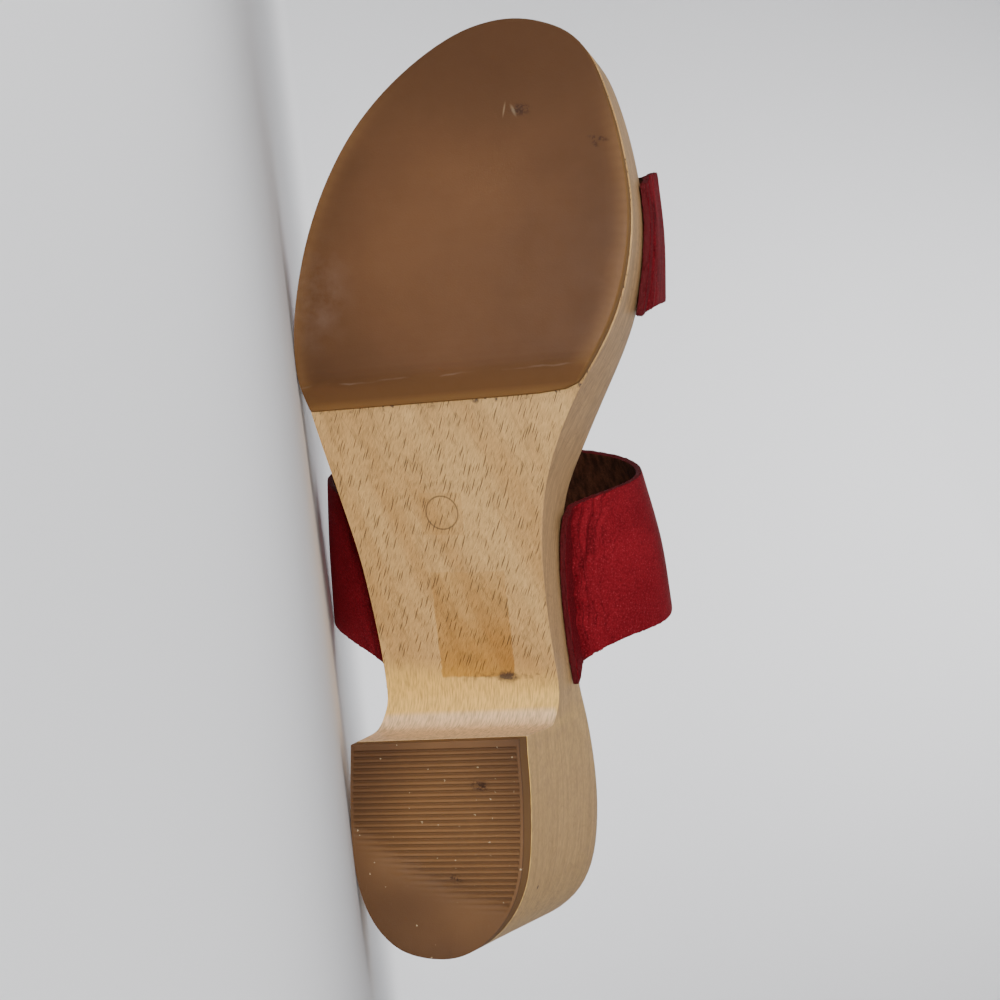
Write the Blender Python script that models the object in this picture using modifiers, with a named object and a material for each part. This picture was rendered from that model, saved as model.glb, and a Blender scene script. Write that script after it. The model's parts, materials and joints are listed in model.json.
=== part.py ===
"""Right clog sandal: a beech sole with a rubber half sole and heel lift, and two leather straps.

The shoe is worked out standing: X to the outer side, Y to the toe, Z up, in millimetres, with Y = 0 just
behind the heel. An empty then lays it on its outer side, on the points where it comes to rest.
"""
import math

import bmesh
import bpy
import numpy as np
from mathutils import Matrix, Vector

MM = 0.001
WELD = 1e-6
GAP = 0.3

# Sole heights and edges
SEAT_HEIGHT = 6.5
BREAST_TOP = 26.5
FILLET_FACES = 4
RIM_RADIUS = 2.6
RIM_FACES = 3
EDGE_BEVEL = 0.6
BEVEL_ANGLE = math.radians(45)
WALL_FACES = 3
CROSS_FACES = 4
FOOTBED_FACES = 10
FULL_DISH_WIDTH = 52.0
STATIONS_PER_ROW = 2

# Rubber half sole
RUBBER_THICKNESS = 5.0
RUBBER_SKIVE = 7.0
RUBBER_SKIVED_EDGE = 1.3
RUBBER_INSET = 0.25
RUBBER_EDGE = 1.0
RUBBER_EDGE_FACES = 2

# Leather
LEATHER = 2.0
LIP_DEPTH = 8.0
LIP_SHARES = (1.0, 0.55, 0.1)
STRAP_ACROSS = 60
STRAP_ALONG = 11

# Linear colours and roughness of the plain materials
BEECH_LOOK = ((0.60, 0.42, 0.23), 0.55)
RUBBER_LOOK = ((0.17, 0.08, 0.035), 0.45)
LEATHER_LOOK = ((0.38, 0.012, 0.015), 0.45)

# Densities in kilograms per cubic metre, for the point the shoe balances on
BEECH_DENSITY = 720.0
RUBBER_DENSITY = 1150.0
LEATHER_DENSITY = 900.0

# Sections across the sole, from heel to toe. y is where the section crosses the middle line, and skew is
# how far it swings back for each millimetre outwards. The bottom edge and the rim have an outer and an
# inner half width each.
SECTION_COLUMNS = ("name", "y", "skew", "edge_out", "edge_in", "rim_y", "rim_out", "rim_in")
SECTIONS = (
    ("heel tip", 9.3, 0.00, 0.0, 0.0, 2.4, 0.0, 0.0),
    ("heel round 1", 10.6, 0.00, 8.0, -8.4, 3.4, 10.5, -10.5),
    ("heel round 2", 15.0, 0.00, 14.4, -15.2, 7.0, 19.5, -19.5),
    ("heel round 3", 22.0, 0.02, 19.0, -20.8, 14.0, 26.8, -26.8),
    ("heel side 1", 31.0, 0.05, 21.9, -23.7, 24.0, 30.5, -30.6),
    ("heel side 2", 43.0, 0.09, 23.6, -23.6, 38.0, 31.6, -31.0),
    ("heel side 3", 55.0, 0.12, 24.4, -22.4, 52.0, 31.2, -29.3),
    ("breast", 65.0, 0.13, 24.8, -21.0, 64.0, 30.4, -26.9),
    ("waist 1", 73.0, 0.13, 25.9, -23.2, 72.5, 29.0, -24.8),
    ("waist 2", 86.0, 0.12, 27.2, -21.3, 86.0, 29.7, -22.3),
    ("waist 3", 100.0, 0.12, 29.5, -19.6, 100.0, 31.6, -20.7),
    ("waist 4", 114.0, 0.12, 32.3, -18.7, 114.0, 34.8, -20.1),
    ("waist 5", 128.0, 0.12, 36.4, -19.6, 128.0, 38.3, -21.2),
    ("waist 6", 140.0, 0.12, 39.8, -22.9, 140.0, 41.5, -26.0),
    ("rubber end", 153.0, 0.115, 43.7, -28.6, 153.0, 44.9, -31.6),
    ("ball 1", 160.0, 0.11, 45.7, -32.8, 160.0, 46.6, -34.5),
    ("ball 2", 168.0, 0.10, 47.2, -36.6, 168.0, 48.0, -37.5),
    ("ball 3", 177.0, 0.09, 47.8, -39.2, 177.0, 48.6, -39.9),
    ("ball 4", 188.0, 0.07, 47.0, -40.6, 188.0, 47.9, -41.0),
    ("ball 5", 200.0, 0.06, 44.9, -40.4, 200.2, 45.9, -40.8),
    ("toe 1", 212.0, 0.04, 41.2, -38.3, 212.4, 42.3, -38.8),
    ("toe 2", 224.0, 0.03, 35.9, -34.9, 224.6, 37.0, -35.6),
    ("toe 3", 234.5, 0.02, 28.7, -30.8, 235.3, 29.8, -31.8),
    ("toe 4", 243.5, 0.01, 20.0, -26.5, 244.4, 21.0, -27.4),
    ("toe 5", 250.2, 0.00, 10.9, -20.3, 251.2, 11.6, -21.1),
    ("toe 6", 253.5, 0.00, 2.9, -12.2, 254.6, 3.2, -12.6),
    ("toe tip", 254.6, 0.00, -4.6, -4.6, 255.8, -4.6, -4.6),
)
HEEL_ROWS = 7
RUBBER_ROW = 14

# Side view of the sole: height of the underside ahead of the breast, and of the foot-bed's rim, with how
# far the foot-bed is dished below it.
UNDERSIDE_COLUMNS = ("y", "height")
UNDERSIDE = (
    (73.0, 34.5),
    (86.0, 30.2),
    (100.0, 25.5),
    (114.0, 20.8),
    (128.0, 16.2),
    (140.0, 11.7),
    (150.0, 8.2),
    (160.0, 6.0),
    (168.0, 5.3),
    (192.0, 5.3),
    (205.0, 5.9),
    (218.0, 7.4),
    (231.0, 9.7),
    (244.0, 12.5),
    (256.0, 15.4),
)
FOOTBED_COLUMNS = ("y", "rim", "dish")
FOOTBED = (
    (0.0, 70.5, 3.0),
    (20.0, 69.2, 3.6),
    (40.0, 66.8, 3.8),
    (60.0, 62.8, 3.4),
    (80.0, 57.0, 2.6),
    (100.0, 50.2, 2.0),
    (120.0, 43.2, 1.8),
    (140.0, 36.8, 2.0),
    (160.0, 31.6, 2.4),
    (180.0, 28.4, 2.4),
    (200.0, 27.2, 2.0),
    (220.0, 27.9, 1.6),
    (240.0, 30.2, 1.0),
    (256.0, 33.2, 0.8),
)

# Straps, at their rear edge, middle and front edge: where the lips sit along the sole, how far out the
# leather's face swells on each side, and how high it arches over the rim. Then their lean to the toe, how
# far the lips' rear corners run on as tails, and how far their front corners are rounded back.
STRAP_COLUMNS = ("edge", "root_out", "root_in", "swell_out", "swell_in", "arch")
INSTEP_STRAP = (
    ("rear", 79.5, 88.0, 60.8, -47.2, 61.0),
    ("middle", 102.5, 109.0, 60.2, -43.8, 58.0),
    ("front", 125.5, 130.0, 58.4, -37.9, 54.0),
)
TOE_STRAP = (
    ("rear", 161.0, 181.5, 54.6, -44.4, 43.0),
    ("middle", 179.5, 199.5, 53.0, -43.4, 39.0),
    ("front", 198.0, 217.5, 50.2, -40.6, 34.0),
)
INSTEP_LEAN = math.radians(19)
TOE_LEAN = math.radians(14)
INSTEP_TAIL = {"out": 6.0, "in": 8.5}
TOE_TAIL = {"out": 1.5, "in": 1.5}
FRONT_CORNER = 3.0
CORNER_HEIGHT = 12.0

# A strap's arch from the rim to its crown. Below the swell, out runs from the sole's wall to the swell.
# Above it, out runs from the middle line to the swell. height is a share of the arch.
ARCH_COLUMNS = ("part", "out", "height")
ARCH = (
    ("low", 0.24, 0.065),
    ("low", 0.62, 0.175),
    ("low", 0.90, 0.315),
    ("low", 1.00, 0.455),
    ("high", 0.945, 0.635),
    ("high", 0.770, 0.815),
    ("high", 0.430, 0.955),
)


def column(table, columns, name):
    """One named column of a table, as an array."""
    return np.array([row[columns.index(name)] for row in table], float)


def catmull_rom(points, params):
    """Points on a smooth curve through the given points. Whole params fall on the points themselves."""
    points = np.asarray(points, float)
    last = len(points) - 1
    before = 2 * points[0] - points[1]
    after = 2 * points[last] - points[last - 1]
    padded = np.concatenate([[before], points, [after]])
    curve = []
    for param in params:
        span = min(int(param), last - 1)
        t = param - span
        a, b, c, d = padded[span:span + 4]
        bend = (2 * a - 5 * b + 4 * c - d) * t + (3 * b - a - 3 * c + d) * t * t
        curve.append(b + 0.5 * t * (c - a + bend))
    return np.array(curve)


def smooth_column(table, columns, name, y):
    """A column's value at y, on a smooth curve through the rows that stays flat where they are equal."""
    knots = column(table, columns, "y")
    values = column(table, columns, name)
    climbs = np.diff(values) / np.diff(knots)
    same_way = climbs[:-1] * climbs[1:] > 0.0
    total = np.where(same_way, climbs[:-1] + climbs[1:], 1.0)
    turns = np.where(same_way, 2.0 * climbs[:-1] * climbs[1:] / total, 0.0)
    slopes = np.concatenate([climbs[:1], turns, climbs[-1:]])
    y = np.clip(y, knots[0], knots[-1])
    span = np.clip(np.searchsorted(knots, y) - 1, 0, len(knots) - 2)
    width = knots[span + 1] - knots[span]
    t = (y - knots[span]) / width
    rise = values[span + 1] - values[span]
    start = slopes[span] * width
    end = slopes[span + 1] * width
    curve = t * start + t ** 2 * (3 * rise - 2 * start - end) + t ** 3 * (start + end - 2 * rise)
    return values[span] + curve


def underside_height(y):
    """Height of the sole's underside, with the fillet where it turns down into the breast."""
    waist_start, waist_height = UNDERSIDE[0]
    breast = column(SECTIONS, SECTION_COLUMNS, "y")[HEEL_ROWS]
    along = np.clip((waist_start - y) / (waist_start - breast), 0.0, 1.0)
    drop = (waist_height - BREAST_TOP) * (1.0 - np.sqrt(1.0 - along ** 2))
    return smooth_column(UNDERSIDE, UNDERSIDE_COLUMNS, "height", np.maximum(y, waist_start)) - drop


def station_params():
    """Where the sole's stations fall on the section rows, closer together round the breast's fillet."""
    even = [k / STATIONS_PER_ROW for k in range(STATIONS_PER_ROW)]
    round_fillet = [1.0 - math.cos(0.5 * math.pi * k / FILLET_FACES) for k in range(FILLET_FACES)]
    params = []
    for row in range(len(SECTIONS) - 1):
        steps = round_fillet if row == HEEL_ROWS else even
        params.extend(row + step for step in steps)
    return np.array(params + [len(SECTIONS) - 1.0])


def half_outline(y_name, half_name, other_name, params):
    """One half of an outline in plan, meeting the other half squarely at the heel and toe tips."""
    skew = column(SECTIONS, SECTION_COLUMNS, "skew")
    y = column(SECTIONS, SECTION_COLUMNS, y_name)
    half = column(SECTIONS, SECTION_COLUMNS, half_name)
    other = column(SECTIONS, SECTION_COLUMNS, other_name)
    own = np.stack([half, y - skew * half], axis=1)
    across = np.stack([other, y - skew * other], axis=1)
    looped = np.concatenate([across[1:2], own, across[-2:-1]])
    return catmull_rom(looped, params + 1.0)


class SoleFrame:
    """The sole's edges at every station: bottom edge, rim and the wall between them, outer and inner."""

    def __init__(self):
        params = station_params()
        self.heel_last = int(np.searchsorted(params, HEEL_ROWS))
        self.rubber_first = int(np.searchsorted(params, RUBBER_ROW))
        y = catmull_rom(column(SECTIONS, SECTION_COLUMNS, "y"), params)
        rim_y = catmull_rom(column(SECTIONS, SECTION_COLUMNS, "rim_y"), params)
        on_heel = np.arange(len(params)) <= self.heel_last
        self.y = y
        self.low = np.where(on_heel, SEAT_HEIGHT, underside_height(y))
        self.high = smooth_column(FOOTBED, FOOTBED_COLUMNS, "rim", rim_y)
        self.dish = smooth_column(FOOTBED, FOOTBED_COLUMNS, "dish", rim_y)
        self.edge = {}
        self.rim = {}
        for side, other in (("out", "in"), ("in", "out")):
            edge = half_outline("y", "edge_" + side, "edge_" + other, params)
            rim = half_outline("rim_y", "rim_" + side, "rim_" + other, params)
            self.edge[side] = np.column_stack([edge, self.low])
            self.rim[side] = np.column_stack([rim, self.high])
            self.run_fillet(side, int(np.searchsorted(params, HEEL_ROWS + 1)))

    def run_fillet(self, side, waist_first):
        """Carries the fillet's edge straight from the head of the breast to the start of the waist."""
        head = self.at_height(side, BREAST_TOP)[self.heel_last, :2]
        end = self.edge[side][waist_first, :2]
        first_y = self.y[self.heel_last]
        for station in range(self.heel_last + 1, waist_first):
            share = (self.y[station] - first_y) / (self.y[waist_first] - first_y)
            self.edge[side][station, :2] = head + (end - head) * share

    def at_height(self, side, height):
        """Points of the wall at a height, one for each station."""
        edge = self.edge[side]
        rim = self.rim[side]
        share = (height - edge[:, 2]) / (rim[:, 2] - edge[:, 2])
        return edge + (rim - edge) * share[:, None]

    def wall_x(self, side, y, z):
        """How far out the wall lies at one place along the sole and one height."""
        edge = self.edge[side][self.heel_last + 1:]
        rim = self.rim[side][self.heel_last + 1:]
        low = np.interp(y, edge[:, 1], edge[:, 2])
        high = np.interp(y, rim[:, 1], rim[:, 2])
        share = (z - low) / (high - low)
        edge_x = np.interp(y, edge[:, 1], edge[:, 0])
        rim_x = np.interp(y, rim[:, 1], rim[:, 0])
        return edge_x + (rim_x - edge_x) * share

    def rim_height(self, side, y):
        """Height of the foot-bed's rim at one place along the sole."""
        rim = self.rim[side]
        return np.interp(y, rim[:, 1], rim[:, 2])


def inward_normals(outer, inner):
    """Level directions into the outline, at the outer and the inner half's points."""
    loop = np.concatenate([outer[:, :2], inner[-2:0:-1, :2]])
    run = np.roll(loop, -1, axis=0) - np.roll(loop, 1, axis=0)
    run /= np.linalg.norm(run, axis=1)[:, None]
    normals = np.column_stack([-run[:, 1], run[:, 0], np.zeros(len(run))])
    count = len(outer)
    inner_normals = np.concatenate([normals[:1], normals[count:][::-1], normals[count - 1:count]])
    return normals[:count], inner_normals


def between(first, last, faces):
    """A grid of points running straight from one row of points to another."""
    shares = np.linspace(0.0, 1.0, faces + 1)
    return np.array([first + (last - first) * share for share in shares])


def mesh_from_grids(name, grids, closed=True):
    """A mesh of quad grids welded along their shared borders."""
    shape = bmesh.new()
    for grid in grids:
        verts = [[shape.verts.new(Vector(point) * MM) for point in row] for row in grid]
        for row, following in zip(verts, verts[1:]):
            for corners in zip(row, row[1:], following[1:], following):
                shape.faces.new(corners)
    bmesh.ops.remove_doubles(shape, verts=shape.verts, dist=WELD)
    if closed:
        bmesh.ops.recalc_face_normals(shape, faces=shape.faces)
    mesh = bpy.data.meshes.new(name)
    shape.to_mesh(mesh)
    shape.free()
    return mesh


def add_object(name, mesh, material, parent, collection):
    """An object for one piece, smooth except at its sharp edges, laid down with its parent."""
    piece = bpy.data.objects.new(name, mesh)
    mesh.shade_smooth()
    mesh.set_sharp_from_angle(angle=BEVEL_ANGLE)
    mesh.materials.append(material)
    piece.parent = parent
    collection.objects.link(piece)
    return piece


def add_material(name, colour, roughness):
    """A plain Principled material."""
    material = bpy.data.materials.new(name)
    material.use_nodes = True
    shader = material.node_tree.nodes["Principled BSDF"]
    shader.inputs["Base Color"].default_value = (*colour, 1.0)
    shader.inputs["Roughness"].default_value = roughness
    shader.inputs["Metallic"].default_value = 0.0
    return material


def add_bevel(piece, width):
    """Small rounding on a piece's sharp edges."""
    bevel = piece.modifiers.new("edge rounding", "BEVEL")
    bevel.width = width * MM
    bevel.segments = 2
    bevel.limit_method = "ANGLE"
    bevel.angle_limit = BEVEL_ANGLE


def wooden_sole_mesh(frame):
    """The milled block: heel, breast, ruled underside, flared walls, rounded rim and dished foot-bed."""
    heel = slice(0, frame.heel_last + 1)
    front = slice(frame.heel_last, None)
    grids = []
    split = {}
    rounded = {}
    normals = dict(zip(("out", "in"), inward_normals(frame.rim["out"], frame.rim["in"])))
    for side in ("out", "in"):
        split[side] = frame.edge[side].copy()
        split[side][heel] = frame.at_height(side, BREAST_TOP)[heel]
        wall_top = frame.at_height(side, frame.high - RIM_RADIUS)
        grids.append(between(frame.edge[side][heel], split[side][heel], WALL_FACES))
        grids.append(between(split[side], wall_top, WALL_FACES))
        turn = np.linspace(0.0, 0.5 * math.pi, RIM_FACES + 1)
        rise = np.array([0.0, 0.0, RIM_RADIUS])
        rows = [wall_top + rise * math.sin(a) + normals[side] * RIM_RADIUS * (1 - math.cos(a)) for a in turn]
        grids.append(np.array(rows))
        rounded[side] = rows[-1]
    seat = between(frame.edge["out"][heel], frame.edge["in"][heel], CROSS_FACES)
    underside = between(split["out"][front], split["in"][front], CROSS_FACES)
    breast_foot = seat[:, -1]
    breast_head = underside[:, 0]
    breast = between(breast_foot, breast_head, WALL_FACES)
    footbed = between(rounded["out"], rounded["in"], FOOTBED_FACES)
    across = np.linspace(-1.0, 1.0, FOOTBED_FACES + 1)
    width = np.linalg.norm(rounded["out"] - rounded["in"], axis=1)
    depth = frame.dish * np.minimum(width / FULL_DISH_WIDTH, 1.0) ** 2
    footbed[:, :, 2] -= (1.0 - across ** 2)[:, None] * depth[None, :]
    return mesh_from_grids("wooden_sole", grids + [seat, underside, breast, footbed])


def heel_top_lift_mesh(frame):
    """The lift: the heel's own outline carried on down its taper to the tread."""
    heel = slice(0, frame.heel_last + 1)
    tread = {}
    top = {}
    for side in ("out", "in"):
        tread[side] = frame.at_height(side, np.zeros(len(frame.y)))[heel]
        top[side] = frame.at_height(side, np.full(len(frame.y), SEAT_HEIGHT - GAP))[heel]
    grids = [between(tread[side], top[side], 1) for side in ("out", "in")]
    grids.append(between(tread["out"], tread["in"], CROSS_FACES))
    grids.append(between(top["out"], top["in"], CROSS_FACES))
    grids.append(between(grids[2][:, -1], grids[3][:, -1], 1))
    return mesh_from_grids("heel_top_lift", grids)


def forefoot_outsole_mesh(frame):
    """The half sole: flat under the ball, sprung with the toe, skived thin at its rear edge."""
    span = slice(frame.rubber_first, None)
    y = frame.y[span]
    worn_in = np.clip((y - y[0]) / RUBBER_SKIVE, 0.0, 1.0)
    thickness = RUBBER_SKIVED_EDGE + (RUBBER_THICKNESS - RUBBER_SKIVED_EDGE) * worn_in
    edge_radius = np.minimum(RUBBER_EDGE, 0.5 * thickness)
    normals = dict(zip(("out", "in"), inward_normals(frame.edge["out"], frame.edge["in"])))
    grids = []
    top = {}
    tread = {}
    for side in ("out", "in"):
        inward = normals[side][span]
        top[side] = frame.edge[side][span] + inward * RUBBER_INSET
        top[side][:, 2] -= GAP
        turn = np.linspace(0.0, 0.5 * math.pi, RUBBER_EDGE_FACES + 1)
        rows = [top[side]]
        for angle in turn:
            row = top[side] + inward * (edge_radius * (1 - math.cos(angle)))[:, None]
            row[:, 2] -= thickness - edge_radius * (1 - math.sin(angle))
            rows.append(row)
        grids.append(np.array(rows))
        tread[side] = rows[-1]
    rows_out = grids[0][:, 0]
    rows_in = grids[1][:, 0]
    grids.append(between(top["out"], top["in"], CROSS_FACES))
    grids.append(between(tread["out"], tread["in"], CROSS_FACES))
    grids.append(between(rows_out, rows_in, CROSS_FACES))
    return mesh_from_grids("forefoot_outsole", grids)


def strap_profile(frame, rows, share, lean, tail):
    """Points of a strap's arch, from the inner lip over the crown to the outer, at a share of its width."""
    at = share * (len(rows) - 1)
    value = {name: catmull_rom(column(rows, STRAP_COLUMNS, name), [at])[0] for name in STRAP_COLUMNS[1:]}
    reach = {"out": value["swell_out"] - LEATHER, "in": value["swell_in"] + LEATHER}
    middle_x = 0.5 * (reach["out"] + reach["in"])
    rim = {side: frame.rim_height(side, value["root_" + side]) for side in ("out", "in")}
    middle_y = 0.5 * (value["root_out"] + value["root_in"])
    middle_z = 0.5 * (rim["out"] + rim["in"])
    forward = math.sin(lean)
    upward = math.cos(lean)
    halves = {}
    for side in ("in", "out"):
        root_y = value["root_" + side]
        wall = frame.wall_x(side, root_y, rim[side])
        points = []
        for lip_share in LIP_SHARES:
            depth = lip_share * LIP_DEPTH
            points.append((wall, root_y - depth * forward, rim[side] - depth * upward))
        for row in ARCH:
            part, out, height_share = (row[ARCH_COLUMNS.index(name)] for name in ("part", "out", "height"))
            height = height_share * value["arch"]
            if part == "low":
                x = wall + (reach[side] - wall) * out
                base = (root_y, rim[side])
            else:
                x = middle_x + (reach[side] - middle_x) * out
                base = (middle_y + (root_y - middle_y) * out, middle_z + (rim[side] - middle_z) * out)
            points.append((x, base[0] + height * forward, base[1] + height * upward))
        halves[side] = points
    crown = (middle_x, middle_y + value["arch"] * forward, middle_z + value["arch"] * upward)
    controls = halves["in"] + [crown] + halves["out"][::-1]
    arch = catmull_rom(controls, np.linspace(0.0, len(controls) - 1.0, STRAP_ACROSS + 1))
    crown_index = STRAP_ACROSS // 2
    settle_on_wall(frame, "in", arch[:crown_index], rim["in"], share, tail["in"])
    settle_on_wall(frame, "out", arch[crown_index:], rim["out"], share, tail["out"])
    return arch


def settle_on_wall(frame, side, points, rim, share, tail):
    """Draws out the lip's tail, rounds its front corner, and keeps the lip a gap away from the wall."""
    outward = 1.0 if side == "out" else -1.0
    for point in points:
        above = np.clip((point[2] - rim + LIP_DEPTH) / (LIP_DEPTH + CORNER_HEIGHT), 0.0, 1.0)
        fade = (1.0 - above) ** 2 * (1.0 + 2.0 * above)
        point[1] -= fade * (tail * (1.0 - share) ** 2 + FRONT_CORNER * share ** 4)
        if point[2] < rim + RIM_RADIUS:
            clear = outward * frame.wall_x(side, point[1], min(point[2], rim)) + GAP
            point[0] = outward * max(outward * point[0], clear)


def strap_mesh(frame, name, rows, lean, tail):
    """The strap's inner face, as an open sheet that faces outwards."""
    shares = np.linspace(0.0, 1.0, STRAP_ALONG + 1)
    profiles = [strap_profile(frame, rows, share, lean, tail) for share in shares]
    return mesh_from_grids(name, [np.array(profiles)], closed=False)


def add_wall(piece, thickness):
    """Gives a sheet the leather's thickness, outwards."""
    wall = piece.modifiers.new("leather thickness", "SOLIDIFY")
    wall.thickness = thickness * MM
    wall.offset = 1.0
    wall.use_even_offset = True
    wall.use_rim = True


def weigh(pieces):
    """Surface points of all the pieces, and the point the shoe balances on."""
    graph = bpy.context.evaluated_depsgraph_get()
    points = []
    mass = 0.0
    moment = Vector()
    for piece, density in pieces:
        shape = bmesh.new()
        shape.from_object(piece, graph)
        bmesh.ops.triangulate(shape, faces=shape.faces)
        for face in shape.faces:
            a, b, c = (vert.co for vert in face.verts)
            share = density * a.dot(b.cross(c)) / 6.0
            mass += share
            moment += share * (a + b + c) / 4.0
        points.extend(vert.co.copy() for vert in shape.verts)
        shape.free()
    return points, moment / mass


def resting_face(points, balance):
    """Normal of the hull's outermost face on the outer side that the balance point is over."""
    hull = bmesh.new()
    for point in points:
        hull.verts.new(point)
    bmesh.ops.convex_hull(hull, input=hull.verts)
    best = None
    for face in hull.faces:
        face.normal_update()
        normal = face.normal
        corners = [vert.co for vert in face.verts]
        foot = balance - normal * normal.dot(balance - corners[0])
        turns = []
        for start, end in zip(corners, corners[1:] + corners[:1]):
            turns.append(normal.dot((end - start).cross(foot - start)) > 0.0)
        if all(turns) and (best is None or normal.x > best.x):
            best = normal.copy()
    hull.free()
    return best


def lay_down(parent, points, normal):
    """Turns the shoe onto its resting face, toe to -X and tread to -Y, over the middle of the floor."""
    up = -normal
    depth = Vector((0.0, 0.0, 1.0))
    depth = (depth - up * up.dot(depth)).normalized()
    right = depth.cross(up)
    turn = Matrix((right, depth, up))
    turned = np.array([turn @ point for point in points])
    low = turned.min(axis=0)
    high = turned.max(axis=0)
    middle = 0.5 * (low + high)
    parent.matrix_world = Matrix.Translation((-middle[0], -middle[1], -low[2])) @ turn.to_4x4()


def main():
    for old in list(bpy.data.objects):
        bpy.data.objects.remove(old, do_unlink=True)
    collection = bpy.data.collections.new("clog_sandal")
    bpy.context.scene.collection.children.link(collection)
    parent = bpy.data.objects.new("lying_frame", None)
    collection.objects.link(parent)

    beech = add_material("oiled_beech", *BEECH_LOOK)
    rubber = add_material("brown_rubber", *RUBBER_LOOK)
    leather = add_material("red_leather", *LEATHER_LOOK)

    frame = SoleFrame()
    sole = add_object("wooden_sole", wooden_sole_mesh(frame), beech, parent, collection)
    add_bevel(sole, EDGE_BEVEL)
    lift = add_object("heel_top_lift", heel_top_lift_mesh(frame), rubber, parent, collection)
    add_bevel(lift, EDGE_BEVEL)
    half_sole = add_object("forefoot_outsole", forefoot_outsole_mesh(frame), rubber, parent, collection)
    instep_mesh = strap_mesh(frame, "instep_strap", INSTEP_STRAP, INSTEP_LEAN, INSTEP_TAIL)
    instep = add_object("instep_strap", instep_mesh, leather, parent, collection)
    add_wall(instep, LEATHER)
    toe_mesh = strap_mesh(frame, "toe_strap", TOE_STRAP, TOE_LEAN, TOE_TAIL)
    toe = add_object("toe_strap", toe_mesh, leather, parent, collection)
    add_wall(toe, LEATHER)

    pieces = [(sole, BEECH_DENSITY), (lift, RUBBER_DENSITY), (half_sole, RUBBER_DENSITY)]
    pieces += [(instep, LEATHER_DENSITY), (toe, LEATHER_DENSITY)]
    points, balance = weigh(pieces)
    lay_down(parent, points, resting_face(points, balance))
    bpy.context.view_layer.update()


if __name__ == "__main__":
    main()
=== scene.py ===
"""Clog sandal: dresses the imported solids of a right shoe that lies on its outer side.

Places on the shoe are given in its own axes, as it would stand: X to the outer side, Y to the toe and Z up
from the tread, with Y = 0 just behind the heel.
"""
import json
import math

import bmesh
import bpy
import numpy as np
from mathutils import Matrix, Vector

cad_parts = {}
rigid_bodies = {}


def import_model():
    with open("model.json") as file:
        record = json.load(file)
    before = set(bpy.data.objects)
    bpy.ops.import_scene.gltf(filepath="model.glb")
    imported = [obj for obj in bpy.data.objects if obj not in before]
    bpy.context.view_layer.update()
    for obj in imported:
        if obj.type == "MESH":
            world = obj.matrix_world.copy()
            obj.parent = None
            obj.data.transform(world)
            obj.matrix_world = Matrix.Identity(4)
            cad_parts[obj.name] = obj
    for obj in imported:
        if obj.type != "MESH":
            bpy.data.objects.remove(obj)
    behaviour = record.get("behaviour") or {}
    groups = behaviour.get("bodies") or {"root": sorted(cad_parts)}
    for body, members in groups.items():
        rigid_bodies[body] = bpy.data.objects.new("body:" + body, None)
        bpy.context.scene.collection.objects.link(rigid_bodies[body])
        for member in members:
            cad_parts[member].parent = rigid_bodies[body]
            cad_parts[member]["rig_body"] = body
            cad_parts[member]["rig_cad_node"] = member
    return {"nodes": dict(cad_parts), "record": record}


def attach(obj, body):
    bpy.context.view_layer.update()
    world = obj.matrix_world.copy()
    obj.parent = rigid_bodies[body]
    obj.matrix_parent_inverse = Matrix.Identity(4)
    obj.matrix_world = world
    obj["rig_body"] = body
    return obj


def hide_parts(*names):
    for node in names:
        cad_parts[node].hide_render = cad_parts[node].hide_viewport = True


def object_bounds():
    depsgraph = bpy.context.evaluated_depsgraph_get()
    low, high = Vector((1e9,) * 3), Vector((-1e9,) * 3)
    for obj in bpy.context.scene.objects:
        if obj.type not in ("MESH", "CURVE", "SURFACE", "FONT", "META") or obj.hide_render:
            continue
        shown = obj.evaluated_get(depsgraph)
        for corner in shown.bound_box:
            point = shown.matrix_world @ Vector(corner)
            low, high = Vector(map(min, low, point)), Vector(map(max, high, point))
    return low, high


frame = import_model()
cad_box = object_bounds()

bl_info = {
    "name": "Clog Sandal",
    "version": (1, 0, 0),
    "blender": (4, 5, 0),
    "location": "View3D > Sidebar > Clog",
    "description": "Beech sole, rubber half sole, ribbed heel lift and two leather straps",
    "category": "Object",
}

MM = 0.001
WELD = 1e-6
QUAD_ANGLE = math.radians(60)
SHARP_ANGLE = math.radians(38)
CUT_EDGE_ANGLE = math.radians(55)

# Where the record's two treads sit on the standing shoe, in millimetres
HEEL_TREAD = Vector((0.0, 42.0, 0.0))
BALL_TREAD = Vector((5.0, 178.0, 0.0))

# Rear line of the half sole: where it crosses the middle line and how far it swings back outwards
RUBBER_END = 153.0
RUBBER_SKEW = 0.115
RUBBER_SKIVE = 7.0

# Ribs of the heel lift, and the line behind which they are worn away: y = start + rise * (x - inner) ** 2.
# A groove's floor is a share of its width; the slacks are for telling floors from walls.
RIB_SKEW = 0.125
RIB_FIRST = 62.4
RIB_LAST = 12.0
WEAR_START = 22.0
WEAR_RISE = 0.008
WEAR_INNER = -22.0
WEAR_FADE = 6.0
GROOVE_FLOOR = 0.3
FLOOR_SLACK = 0.1
DEPTH_SLACK = 1.2
LIFT_WALL = 0.5
LIFT_STRIPS = range(-24, 27, 3)

# Heights of the normals: on the faces of the two treads, on upright walls, and from a tread to its wall
HALF_SOLE_TREAD = -0.9
LIFT_TREAD = -0.99
UPRIGHT = 0.5
WALL_TURN = 0.5

# How quickly the wood's faces below and in front count as such, as they turn
FACING_GAIN = 1.6

# Crest of the half sole's skive, on the line of its rear edge, and the size of the grit in the treads
RUBBER_CREST = 159.6
GRIT_RADIUS = 0.22

# Light let through inside the half sole's rim: its width, and where it fades out towards the toe
GLOW_WIDTH = 2.9
GLOW_END = 242.0
GLOW_FADE = 25.0

# Flecks of the wood: their size as a share of the sizes set, and how dark they are. Flecks and growth bands
# lean across the sole.
FLECK_SIZES = ((1.0, 0.88), (0.5, 0.48))
FLECK_LEAN = math.radians(-17)
BAND_LEAN = math.radians(26)

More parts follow.
